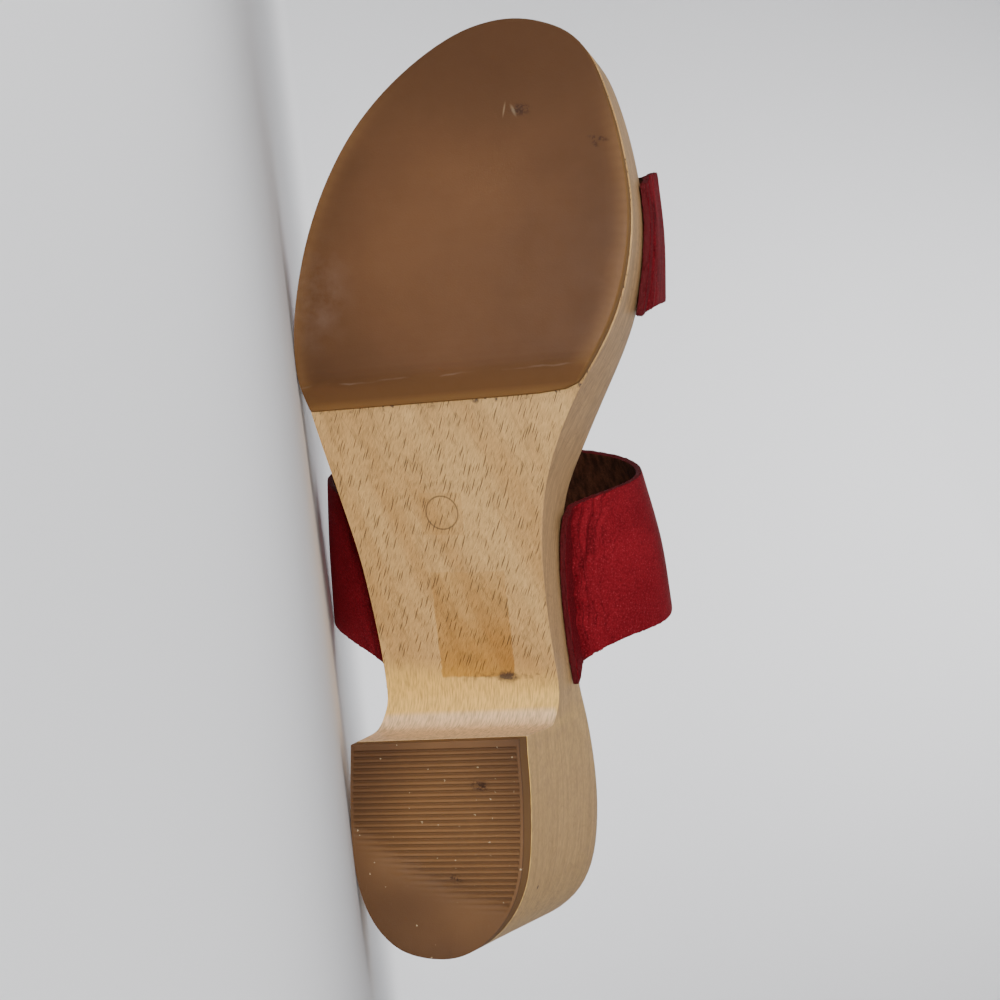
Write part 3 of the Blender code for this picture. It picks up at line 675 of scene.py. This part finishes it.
# Translucent brown rubber, moulded smooth: satin, amber where it is thin, cloudy from handling
def brown_rubber(look, name, tones, marks):
    """Brown rubber with a painted lit middle, lit through at its thin edges, with scuffs, nicks, painted
    groove shade and pale grit.
    """
    material, tree, shader = new_material(name)
    place = shoe_place(tree)
    thin, side, groove, glow = (
        add(tree, "Attribute", {"attribute_name": kept}, {})["Fac"]
        for kept in ("thin", "side", "groove", "glow"))
    clouds = add(tree, "TexNoise", {}, {"Vector": place, "Scale": 0.03, "Detail": 4.0, "Roughness": 0.5})
    cloud = add(tree, "MapRange", {}, {
        "Value": clouds[0], **NOISE_RANGE, "To Min": -0.25, "To Max": 0.25})
    # Painted light: a lighter middle that fades to the shade colour towards the edges, standing in for a
    # broad pool of light on the tread.
    middle = patch(tree, place, *marks["painted_lit_middle"])
    depth = add(tree, "Math", PLUS_HELD, {0: middle, 1: cloud[0]})
    brown, shade = tones
    base = add(tree, "Mix", COLOURS, {0: depth[0], 6: shade, 7: brown})
    tinted = tint(tree, base[2], glow, 0.5, look.glow)
    if "crest" in marks:
        tinted = skived(tree, look, place, tinted, marks["crest"])
    lit = add(tree, "Mix", COLOURS, {0: thin, 6: tinted, 7: look.amber})

    smears = add(tree, "TexNoise", {}, {"Vector": place, "Scale": 0.16, "Detail": 5.0, "Roughness": 0.55})
    smear = add(tree, "MapRange", {}, {"Value": smears[0], "From Min": 0.40, "From Max": 0.75})
    hazed = add(tree, "Math", TIMES, {0: patch(tree, place, *marks["haze"]), 1: smear[0]})
    scuffed = tint(tree, lit[2], hazed[0], 0.25, look.haze)
    rubbed = tint(tree, scuffed, patch(tree, place, *marks["worn"]), 0.8, shade)

    scratch_noise = add(tree, "TexNoise", {}, {
        "Vector": place, "Scale": 0.9, "Detail": 4.0, "Roughness": 0.7})
    scratch = add(tree, "MapRange", {}, {"Value": scratch_noise[0], "From Min": 0.46, "From Max": 0.53})
    nick = patch(tree, place, *marks["nicks"][0])
    for spot in marks["nicks"][1:]:
        nick = add(tree, "Math", LARGER, {0: nick, 1: patch(tree, place, *spot)})[0]
    nicked = add(tree, "Math", TIMES, {0: nick, 1: scratch[0]})
    cut = add(tree, "Mix", COLOURS, {0: nicked[0], 6: rubbed, 7: look.nick})[2]
    for spot in marks.get("scratches", ()):
        cut = tint(tree, cut, patch(tree, place, *spot), 0.16, look.crumb)
    # Painted shade: the grooves darkened towards their floors with the nick colour.
    groove_shaded = tint(tree, cut, groove, 0.45, look.nick)
    grit_place = warped(tree, place, 2.0, 2.0, (1.2, 0.8, 0.0))
    grit_cells = add(tree, "TexVoronoi", FLAT, {"Vector": grit_place, "Scale": 1.0 / marks["grit"]})
    grit_size = add(tree, "SeparateColor", {}, {0: grit_cells["Color"]})
    grit_radius = add(tree, "MapRange", {}, {
        "Value": grit_size[0], "From Min": 0.45, "To Max": GRIT_RADIUS / marks["grit"]})
    grit_in = add(tree, "Math", {"operation": "GREATER_THAN"}, {0: grit_radius[0], 1: grit_cells["Distance"]})
    final = tint(tree, groove_shaded, grit_in[0], 0.55, look.crumb)

    gloss = add(tree, "MapRange", {}, {
        "Value": smears[0], **NOISE_RANGE, "To Min": 0.52, "To Max": 0.66})
    dull = add(tree, "Math", TIMES_PLUS_HELD, {0: side, 1: 0.3, 2: gloss[0]})
    skin = add(tree, "TexNoise", {}, {"Vector": place, "Scale": 2.2, "Detail": 3.0})
    height = add(tree, "Math", TIMES_PLUS, {0: nicked[0], 1: -6.0, 2: skin[0]})
    bump = add(tree, "Bump", {}, {"Strength": 0.35, "Distance": 0.06 * MM, "Height": height[0]})
    finish(tree, shader, {"Base Color": final, "Roughness": dull[0], "Normal": bump[0]}, {
        "IOR": 1.48, "Specular IOR Level": 0.25, "Subsurface Weight": 0.12,
        "Subsurface Radius": (1.0, 0.5, 0.2), "Subsurface Scale": 1.5 * MM})
    return material


# Full-grain cow leather, drum dyed red: fine pebbles, a soft waxy gloss, long wrinkles at the roots
def red_leather(look):
    """Pebbled grain and root wrinkles, with painted shade in creases, at the roots and between pebbles, and
    painted glints on pebbles.
    """
    material, tree, shader = new_material("red grained leather")
    place = shoe_place(tree)
    axes = add(tree, "SeparateXYZ", {}, {0: place})
    root = add(tree, "Attribute", {"attribute_name": "root"}, {})["Fac"]
    pebbles = add(tree, "TexVoronoi", {"feature": "SMOOTH_F1"}, {"Vector": place, "Scale": MM / look.pebble})
    pores = add(tree, "TexNoise", {}, {"Vector": place, "Scale": 2.6, "Detail": 3.0})
    along = add(tree, "Math", TIMES, {0: axes[1], 1: 0.085})
    across = add(tree, "Math", TIMES, {0: root, 1: 0.5})
    side = add(tree, "Math", TIMES, {0: axes[0], 1: 0.01})
    wrinkle_space = add(tree, "CombineXYZ", {}, {0: across[0], 1: along[0], 2: side[0]})
    wrinkles = add(tree, "TexNoise", {}, {
        "Vector": wrinkle_space[0], "Scale": 1.0, "Detail": 4.0, "Roughness": 0.55, "Distortion": 0.6})
    near_root = add(tree, "MapRange", SOFT, {"Value": root, "From Min": 19.0, "From Max": 5.0})
    past_lip = add(tree, "MapRange", SOFT, {"Value": root, "From Min": 0.5, "From Max": 2.5})
    wrinkled = add(tree, "Math", TIMES, {0: near_root[0], 1: past_lip[0]})
    trough = add(tree, "MapRange", {}, {"Value": wrinkles[0], "From Min": 0.50, "From Max": 0.36})
    crease_shade = add(tree, "Math", TIMES, {0: trough[0], 1: wrinkled[0]})
    clouds = add(tree, "TexNoise", {}, {"Vector": place, "Scale": 0.07, "Detail": 4.0})
    cloud = add(tree, "MapRange", {}, {
        "Value": clouds[0], **NOISE_RANGE, "To Min": 0.0, "To Max": 0.30})
    # Painted shade: darker near the roots, in the wrinkles' troughs and between the pebbles, on top of random
    # clouds of darker dye.
    lip_shade = add(tree, "MapRange", SOFT, {
        "Value": root, "From Min": 6.0, "From Max": 0.0, "To Min": 0.0, "To Max": 0.5})
    grain_valley_shade = add(tree, "MapRange", {}, {
        "Value": pebbles["Distance"], "From Min": 0.30, "From Max": 0.70, "To Min": 0.0, "To Max": 0.34})
    cloud_and_lip_shade = add(tree, "Math", LARGER, {0: cloud[0], 1: lip_shade[0]})
    cloud_and_painted_shade = add(tree, "Math", TIMES_PLUS, {0: crease_shade[0], 1: 0.45, 2: cloud_and_lip_shade[0]})
    dark = add(tree, "Math", PLUS_HELD, {0: cloud_and_painted_shade[0], 1: grain_valley_shade[0]})
    dyed = add(tree, "Mix", COLOURS, {0: dark[0], 6: look.red, 7: look.deep_red_and_shade})
    # Painted highlight: glints of the bright red on the tops of some pebbles.
    pebble_top_glint = add(tree, "MapRange", {}, {
        "Value": pebbles["Distance"], "From Min": 0.32, "From Max": 0.12, "To Min": 0.0, "To Max": 0.5})
    glint_patches = add(tree, "MapRange", {}, {"Value": pores[0], "From Min": 0.48, "From Max": 0.62})
    pebble_glints = add(tree, "Math", TIMES, {0: pebble_top_glint[0], 1: glint_patches[0]})
    grained = add(tree, "Mix", COLOURS, {0: pebble_glints[0], 6: dyed[2], 7: look.bright})
    relief = add(tree, "Math", TIMES_PLUS, {0: pebbles["Distance"], 1: -1.0, 2: pores[0]})
    grain_bump = add(tree, "Bump", {}, {"Strength": 0.8, "Distance": 0.24 * MM, "Height": relief[0]})
    fold_height = add(tree, "Math", TIMES, {0: wrinkles[0], 1: wrinkled[0]})
    bump = add(tree, "Bump", {}, {
        "Strength": 0.7, "Distance": 0.6 * MM, "Height": fold_height[0], "Normal": grain_bump[0]})
    waxed = add(tree, "MapRange", {}, {"Value": pores[0], "To Min": 0.58, "To Max": 0.82})
    gloss = add(tree, "Math", TIMES_PLUS_HELD, {
        0: lip_shade[0], 1: 0.4, 2: waxed[0]})
    finish(tree, shader, {"Base Color": grained[2], "Roughness": gloss[0], "Normal": bump[0]}, {
        "IOR": 1.4, "Specular IOR Level": 0.08})
    return material


# Cut and dyed edge of the same leather: fibrous, dark maroon, dull. Its fibres are too fine to show, so they
# are drawn about half a millimetre wide.
def cut_leather(look):
    """Loose fibres along the cut, a little lighter where they stand up."""
    material, tree, shader = new_material("dyed leather edge")
    place = shoe_place(tree)
    fibres = add(tree, "TexNoise", {}, {"Vector": place, "Scale": 1.8, "Detail": 5.0, "Roughness": 0.7})
    lift = add(tree, "MapRange", {}, {"Value": fibres[0], "From Min": 0.42, "From Max": 0.72})
    dyed = add(tree, "Mix", COLOURS, {0: lift[0], 6: look.edge, 7: look.deep_red_and_shade})
    bump = add(tree, "Bump", {}, {"Strength": 0.7, "Distance": 0.3 * MM, "Height": fibres[0]})
    finish(tree, shader, {"Base Color": dyed[2], "Normal": bump[0]}, {
        "Roughness": 0.7, "Specular IOR Level": 0.2})
    return material


# Flesh side of the leather, buffed to a suede: dark brown, matt, with a short nap. The nap is too fine to
# show, so it is drawn about half a millimetre wide.
def brown_suede(look):
    """Short nap with brushed streaks."""
    material, tree, shader = new_material("dark brown suede")
    place = shoe_place(tree)
    nap = add(tree, "TexNoise", {}, {"Vector": place, "Scale": 1.6, "Detail": 6.0, "Roughness": 0.75})
    tone = add(tree, "MapRange", {}, {
        "Value": nap[0], **NOISE_RANGE, "To Min": 0.7, "To Max": 1.5})
    stroke_space = add(tree, "VectorMath", TIMES, {0: place, 1: (0.9, 0.1, 0.9)})
    strokes = add(tree, "TexNoise", {}, {"Vector": stroke_space[0], "Scale": 0.6, "Detail": 3.0})
    stroke = add(tree, "MapRange", {}, {
        "Value": strokes[0], "From Min": 0.35, "From Max": 0.65, "To Min": 0.6, "To Max": 1.6})
    depth = add(tree, "Math", TIMES, {0: tone[0], 1: stroke[0]})
    brushed = add(tree, "VectorMath", SCALED, {0: look.suede[:3], "Scale": depth[0]})
    bump = add(tree, "Bump", {}, {"Strength": 0.6, "Distance": 0.3 * MM, "Height": nap[0]})
    finish(tree, shader, {"Base Color": brushed[0], "Normal": bump[0]}, {
        "Roughness": 0.95, "Specular IOR Level": 0.08})
    return material


def rim_lines():
    """Stations along the sole, with its rim's height and its outer and inner reach, in millimetres."""
    corners = np.array([STANDING @ v.co for v in frame["nodes"]["wooden_sole"].data.vertices]) / MM
    stations = np.arange(RIM_REAR, RIM_FRONT, RIM_STEP)
    near = [corners[np.abs(corners[:, 1] - y) < RIM_NEAR] for y in stations]
    heights = np.array([group[:, 2].max() for group in near])
    outer = np.array([group[:, 0].max() for group in near])
    inner = np.array([group[:, 0].min() for group in near])
    return stations, heights, outer, inner


RIM = rim_lines()


def root_reach(points):
    """How far a strap's points are from the sole's rim, negative below it, and if on the outer side."""
    stations, heights, outer, inner = RIM
    y = points[:, 1]
    rim_out = np.interp(y, stations, outer)
    rim_in = np.interp(y, stations, inner)
    on_outer = points[:, 0] > 0.5 * (rim_out + rim_in)
    aside = np.where(on_outer, points[:, 0] - rim_out, rim_in - points[:, 0])
    rise = points[:, 2] - np.interp(y, stations, heights)
    above = np.hypot(np.maximum(aside, 0.0), np.maximum(rise, 0.0))
    return np.where(rise > 0.0, above, np.maximum(aside, 0.0) + rise), on_outer


def outward_share(points, normals):
    """How squarely each point or face looks away from the foot: 1 on the grain side, -1 on the flesh side."""
    stations, heights, outer, inner = RIM
    middle = 0.5 * (np.interp(points[:, 1], stations, outer) + np.interp(points[:, 1], stations, inner))
    rise = np.maximum(points[:, 2] - np.interp(points[:, 1], stations, heights) - FOOT_MIDDLE, 0.0)
    away = np.column_stack([points[:, 0] - middle, np.zeros(len(points)), rise])
    away /= np.linalg.norm(away, axis=1)[:, None]
    return np.sum(normals * away, axis=1)


def press_fold(piece, row, reach, on_outer, grain_side):
    """Raises one soft ridge, or presses one soft trough, along a strap's root."""
    fold = dict(zip(FOLD_COLUMNS, row))
    points, _ = points_of(piece)
    run = (points[:, 1] - fold["y_rear"]) / (fold["y_front"] - fold["y_rear"])
    middle = fold["reach_rear"] + (fold["reach_front"] - fold["reach_rear"]) * np.clip(run, 0.0, 1.0)
    waver = FOLD_WAVER * np.sin(WAVER_RATE * points[:, 1] + WAVER_SHIFT * fold["reach_rear"])
    ends = np.minimum(points[:, 1] - fold["y_rear"], fold["y_front"] - points[:, 1]) / FOLD_FADE
    weight = np.exp(-((reach - middle - waver) / fold["half_width"]) ** 2) * smooth_step(ends)
    weight *= grain_side * (on_outer == (fold["side"] == "out"))
    group = piece.vertex_groups.new(name="fold")
    for index in np.nonzero(weight > FOLD_LEAST)[0]:
        group.add([int(index)], float(weight[index]), "REPLACE")
    press = piece.modifiers.new("fold", "DISPLACE")
    press.strength = fold["lift"] * MM
    press.mid_level = 0.0
    press.vertex_group = group.name
    bpy.ops.object.modifier_apply(modifier=press.name)
    piece.vertex_groups.clear()


def dress_strap(node, name, folds, look):
    """A strap with rounded, slightly frayed cut edges, folds at its roots, and its three finishes."""
    strap = stand_copy(node, name)
    for material in (cut_leather(look), red_leather(look), brown_suede(look)):
        strap.data.materials.append(material)
    facing = outward_share(*faces_of(strap))
    for side, seeds in ((GRAIN_SIDE, facing > SQUARE_ON), (FLESH_SIDE, facing < -SQUARE_ON)):
        select_faces(strap, seeds)
        bpy.ops.mesh.faces_select_linked_flat(sharpness=CUT_EDGE_ANGLE)
        strap.active_material_index = side
        bpy.ops.object.material_slot_assign()
        bpy.ops.object.mode_set(mode="OBJECT")

    round_edges(strap, look.edge_round)
    subdivide(strap, 2)
    reach, _ = root_reach(faces_of(strap)[0])
    cut_finer(strap, (finishes(strap) == GRAIN_SIDE) & (reach > FOLDS_FROM) & (reach < FOLDS_TO), 2)

    grain_side = np.zeros(len(strap.data.vertices))
    for face in strap.data.polygons:
        if face.material_index == GRAIN_SIDE:
            grain_side[list(face.vertices)] = 1.0
    points, _ = points_of(strap)
    reach, on_outer = root_reach(points)
    store(strap, "root", reach)
    for row in folds:
        press_fold(strap, row, reach, on_outer, grain_side)

    select_faces(strap, finishes(strap) == CUT_SIDE)
    bpy.ops.transform.vertex_random(offset=look.fray, seed=FRAY_SEED)
    bpy.ops.object.mode_set(mode="OBJECT")
    lay_down(strap, node)


class CLOG_OT_wooden_sole(bpy.types.Operator):
    """Dresses the milled beech sole"""

    bl_idname = "clog.wooden_sole"
    bl_label = "Wooden sole"

    def execute(self, context):
        sole = stand_copy("wooden_sole", "beech_sole")
        subdivide(sole, 1)
        _, normals = points_of(sole)
        store(sole, "underside", np.clip(-normals[:, 2] * FACING_GAIN, 0.0, 1.0))
        store(sole, "level", np.abs(normals[:, 2]))
        store(sole, "front", np.clip(normals[:, 1] * FACING_GAIN, 0.0, 1.0))
        sole.data.materials.append(beech(context.scene.clog_wood))
        lay_down(sole, "wooden_sole")
        return {"FINISHED"}


class CLOG_OT_half_sole(bpy.types.Operator):
    """Dresses the rubber half sole, thin and amber at its edges"""

    bl_idname = "clog.half_sole"
    bl_label = "Half sole"

    def execute(self, context):
        look = context.scene.clog_rubber
        half_sole = stand_copy("forefoot_outsole", "rubber_half_sole")
        round_edges(half_sole, look.edge_round)
        subdivide(half_sole, 1)
        cut_finer(half_sole, faces_of(half_sole)[1][:, 2] < HALF_SOLE_TREAD, 3)
        points, normals = points_of(half_sole)
        back = (points[:, 1] + RUBBER_SKEW * points[:, 0] - RUBBER_END) / RUBBER_SKIVE
        wall = smooth_step((1.0 + normals[:, 2]) / WALL_TURN)
        store(half_sole, "thin", np.maximum(0.6 * smooth_step(1.0 - back) ** 4, 0.5 * wall))
        store(half_sole, "side", wall)
        outline = points[np.abs(normals[:, 2]) < UPRIGHT][:, :2]
        inset = np.array([np.hypot(*(outline - spot).T).min() for spot in points[:, :2]])
        behind_toe = smooth_step((GLOW_END - points[:, 1]) / GLOW_FADE)
        store(half_sole, "glow", np.exp(-(inset / GLOW_WIDTH) ** 2) * behind_toe * smooth_step(back))
        marks = {
            # The first mark is the painted lit middle of the tread.
            "painted_lit_middle": ((8.0, 192.0), (28.0, 34.0), 0.0, 0.95),
            "haze": ((41.0, 178.0), (8.0, 12.0), 0.0, 0.6),
            "worn": ((-8.0, 250.0), (36.0, 24.0), 0.0, 0.9),
            "nicks": (((-9.8, 227.9), (2.4, 1.4), 0.0, 0.6), ((-31.1, 219.9), (2.2, 0.5), 0.2, 0.6),
                      ((-30.0, 218.9), (0.5, 1.5), -0.6, 0.6)),
            "scratches": (((-8.1, 227.7), (0.35, 1.4), -0.5, 0.8), ((-5.6, 228.0), (0.2, 1.6), 0.05, 0.8)),
            "grit": 34.0,
            "crest": RUBBER_CREST,
        }
        tones = (look.brown, look.shade)
        half_sole.data.materials.append(brown_rubber(look, "smooth brown rubber", tones, marks))
        lay_down(half_sole, "forefoot_outsole")
        return {"FINISHED"}


class CLOG_OT_heel_lift(bpy.types.Operator):
    """Dresses the heel lift and cuts its ribs, worn away at the back and outer corner"""

    bl_idname = "clog.heel_lift"
    bl_label = "Heel lift"

    def execute(self, context):
        look = context.scene.clog_rubber
        lift = stand_copy("heel_top_lift", "ribbed_heel_lift")
        select_sharp(lift)
        bpy.ops.transform.edge_crease(value=1.0)
        bpy.ops.object.mode_set(mode="OBJECT")
        subdivide(lift, 2)
        select_faces(lift, faces_of(lift)[1][:, 2] < LIFT_TREAD)
        bpy.ops.mesh.dissolve_faces()
        bpy.ops.mesh.inset(thickness=look.border)
        bpy.ops.mesh.hide(unselected=True)
        bpy.ops.mesh.inset(thickness=look.rib_end, use_even_offset=False)
        self.cut_ribs(lift, look)
        bpy.ops.object.mode_set(mode="OBJECT")
        points, normals = points_of(lift)
        wall = smooth_step((1.0 + normals[:, 2]) / WALL_TURN) * (points[:, 2] > LIFT_WALL)
        store(lift, "thin", 0.25 * wall)
        store(lift, "side", wall)
        # groove holds how deep a point lies in a groove, for the painted shade there.
        sunk = (normals[:, 2] < 0.0) & (points[:, 2] * MM < DEPTH_SLACK * look.groove_depth)
        store(lift, "groove", sunk * np.clip(points[:, 2] * MM / look.groove_depth, 0.0, 1.0))
        marks = {
            # The first mark is the painted lit middle of the tread.
            "painted_lit_middle": ((-4.0, 42.0), (20.0, 22.0), 0.0, 0.8),
            "haze": ((2.0, 30.0), (10.0, 4.0), 0.2, 0.8),
            "worn": ((9.0, 21.0), (15.0, 7.0), -0.45, 0.9),
            "nicks": (((-11.0, 55.0), (2.2, 1.2), 0.0, 0.6), ((-6.0, 31.0), (1.6, 1.0), 0.4, 0.6)),
            "grit": 4.4,
        }
        tones = (look.lift_brown, look.lift_shade)
        lift.data.materials.append(brown_rubber(look, "ribbed brown rubber", tones, marks))
        lay_down(lift, "heel_top_lift")
        return {"FINISHED"}

    def cut_ribs(self, lift, look):
        """Scores the tread's visible middle at each groove's edges and floor, and sinks the floors."""
        along = Vector((RIB_SKEW, 1.0, 0.0)).normalized()
        half = 0.5 * look.groove_width
        grooves = np.arange(RIB_FIRST * MM, RIB_LAST * MM, -look.rib_pitch)
        cuts = [(Vector((x * MM, 0.0, 0.0)), Vector((1.0, 0.0, 0.0))) for x in LIFT_STRIPS]
        shares = (-1.0, -GROOVE_FLOOR, GROOVE_FLOOR, 1.0)
        cuts += [(along * (groove + share * half), along) for groove in grooves for share in shares]
        for spot, facing in cuts:
            bpy.ops.mesh.select_all(action="SELECT")
            bpy.ops.mesh.bisect(plane_co=spot, plane_no=facing, threshold=WELD)
        shape = bmesh.from_edit_mesh(lift.data)
        for vert in shape.verts:
            if vert.hide or any(face.hide for face in vert.link_faces):
                continue
            if np.min(np.abs(grooves - along.dot(vert.co))) > (GROOVE_FLOOR + FLOOR_SLACK) * half:
                continue
            x, y = vert.co.x / MM, vert.co.y / MM
            unworn = (y - WEAR_START - WEAR_RISE * (x - WEAR_INNER) ** 2) / WEAR_FADE
            vert.co.z += look.groove_depth * float(smooth_step(unworn))
        bmesh.update_edit_mesh(lift.data)
        bpy.ops.mesh.reveal(select=False)


class CLOG_OT_toe_strap(bpy.types.Operator):
    """Dresses the leather strap over the toes"""

    bl_idname = "clog.toe_strap"
    bl_label = "Toe strap"

    def execute(self, context):
        dress_strap("toe_strap", "leather_toe_strap", TOE_FOLDS, context.scene.clog_leather)
        return {"FINISHED"}


class CLOG_OT_instep_strap(bpy.types.Operator):
    """Dresses the leather strap over the instep"""

    bl_idname = "clog.instep_strap"
    bl_label = "Instep strap"

    def execute(self, context):
        dress_strap("instep_strap", "leather_instep_strap", INSTEP_FOLDS, context.scene.clog_leather)
        return {"FINISHED"}


class CLOG_OT_stage(bpy.types.Operator):
    """Lays the pale floor and backdrop, and sets the lights and the camera"""

    bl_idname = "clog.stage"
    bl_label = "Stage"

    def execute(self, context):
        stage = context.scene.clog_stage
        self.lay_floor(stage)
        self.hang_lights()
        self.place_camera(context, stage)
        return {"FINISHED"}

    def lay_floor(self, stage):
        """A sheet of pale paper that turns up into the backdrop."""
        bpy.ops.object.select_all(action="DESELECT")
        middle = stage.backdrop - 0.5 * stage.floor_depth
        bpy.ops.mesh.primitive_plane_add(size=1.0, location=(0.0, middle, 0.0))
        sheet = bpy.context.view_layer.objects.active
        sheet.name = "paper_sweep"
        sheet.scale = (stage.floor_width, stage.floor_depth, 1.0)
        bpy.ops.object.transform_apply()
        bpy.ops.object.mode_set(mode="EDIT")
        bpy.ops.mesh.select_mode(type="EDGE")
        select_edges(sheet, lambda end: end.y > 0.0)
        bpy.ops.mesh.extrude_region_move(TRANSFORM_OT_translate={"value": (0.0, 0.0, stage.wall_height)})
        select_edges(sheet, lambda end: end.y > 0.0 and abs(end.z) < WELD)
        bpy.ops.mesh.bevel(offset=stage.cove, segments=24)
        bpy.ops.object.mode_set(mode="OBJECT")
        bpy.ops.object.shade_smooth()
        paper, tree, shader = new_material("matt paper")
        finish(tree, shader, {}, {"Base Color": stage.paper, "Roughness": 0.95})
        sheet.data.materials.append(paper)

    def hang_lights(self):
        """Soft lamps, in metres: one beside the camera, one behind, one low in front and two on the paper."""
        lamps = (
            ("key", (-0.85, -1.00, 0.40), (0.0, 0.0, 0.05), 0.9, 180, 5.5),
            ("behind", (-0.20, 0.90, 1.10), (0.0, 0.0, 0.05), 0.9, 180, 0.8),
            ("fill", (-0.02, -1.00, 0.045), (0.0, 0.0, 0.04), 0.08, 180, 8.5),
            ("floor", (0.0, -0.36, 0.55), (0.0, -0.36, 0.0), 0.3, 60, 0.35),
            ("backdrop", (0.0, 0.50, 1.00), (0.0, 1.30, 0.10), 1.0, 135, 9.0),
        )
        for name, spot, aim, size, spread, power in lamps:
            turn = (Vector(aim) - Vector(spot)).to_track_quat("-Z", "Y").to_euler()
            bpy.ops.object.light_add(type="AREA", location=spot, rotation=turn)
            lamp = bpy.context.view_layer.objects.active
            lamp.name = name
            lamp.data.size = size
            lamp.data.spread = math.radians(spread)
            lamp.data.energy = power
        world = bpy.data.worlds.new("soft room")
        bpy.context.scene.world = world
        world.use_nodes = True
        world.node_tree.nodes["Background"].inputs["Color"].default_value = srgb("#F2F4F8")
        world.node_tree.nodes["Background"].inputs["Strength"].default_value = 0.25

    def place_camera(self, context, stage):
        """The photograph's viewpoint, raised clear of the floor and aimed at the middle of the shoe."""
        eye = LYING @ (EYE * MM)
        eye.z = stage.clearance
        low, high = cad_box
        ahead = (0.5 * (low + high) - eye).normalized()
        up = LYING.to_3x3() @ PICTURE_UP
        right = ahead.cross(up).normalized()
        turn = Matrix((right, right.cross(ahead), -ahead)).transposed()
        bpy.ops.object.camera_add(location=eye, rotation=turn.to_euler())
        camera = bpy.context.view_layer.objects.active
        camera.data.lens = stage.lens
        camera.data.clip_start = 0.01
        context.scene.camera = camera


class CLOG_PT_panel(bpy.types.Panel):
    """Lists the clog's pieces"""

    bl_idname = "CLOG_PT_panel"
    bl_label = "Clog Sandal"
    bl_space_type = "VIEW_3D"
    bl_region_type = "UI"
    bl_category = "Clog"

    def draw(self, context):
        for piece in PIECES:
            self.layout.operator(piece.bl_idname)


LOOKS = {
    "clog_wood": ClogWood,
    "clog_rubber": ClogRubber,
    "clog_leather": ClogLeather,
    "clog_stage": ClogStage,
}
PIECES = (
    CLOG_OT_wooden_sole,
    CLOG_OT_half_sole,
    CLOG_OT_heel_lift,
    CLOG_OT_toe_strap,
    CLOG_OT_instep_strap,
    CLOG_OT_stage,
)


def register():
    for name, look in LOOKS.items():
        bpy.utils.register_class(look)
        setattr(bpy.types.Scene, name, bpy.props.PointerProperty(type=look))
    for piece in PIECES:
        bpy.utils.register_class(piece)
    bpy.utils.register_class(CLOG_PT_panel)


def unregister():
    bpy.utils.unregister_class(CLOG_PT_panel)
    for piece in reversed(PIECES):
        bpy.utils.unregister_class(piece)
    for name, look in LOOKS.items():
        delattr(bpy.types.Scene, name)
        bpy.utils.unregister_class(look)


def main():
    register()
    bpy.ops.clog.wooden_sole()
    bpy.ops.clog.half_sole()
    bpy.ops.clog.heel_lift()
    bpy.ops.clog.toe_strap()
    bpy.ops.clog.instep_strap()
    bpy.ops.clog.stage()


if __name__ == "__main__":
    main()
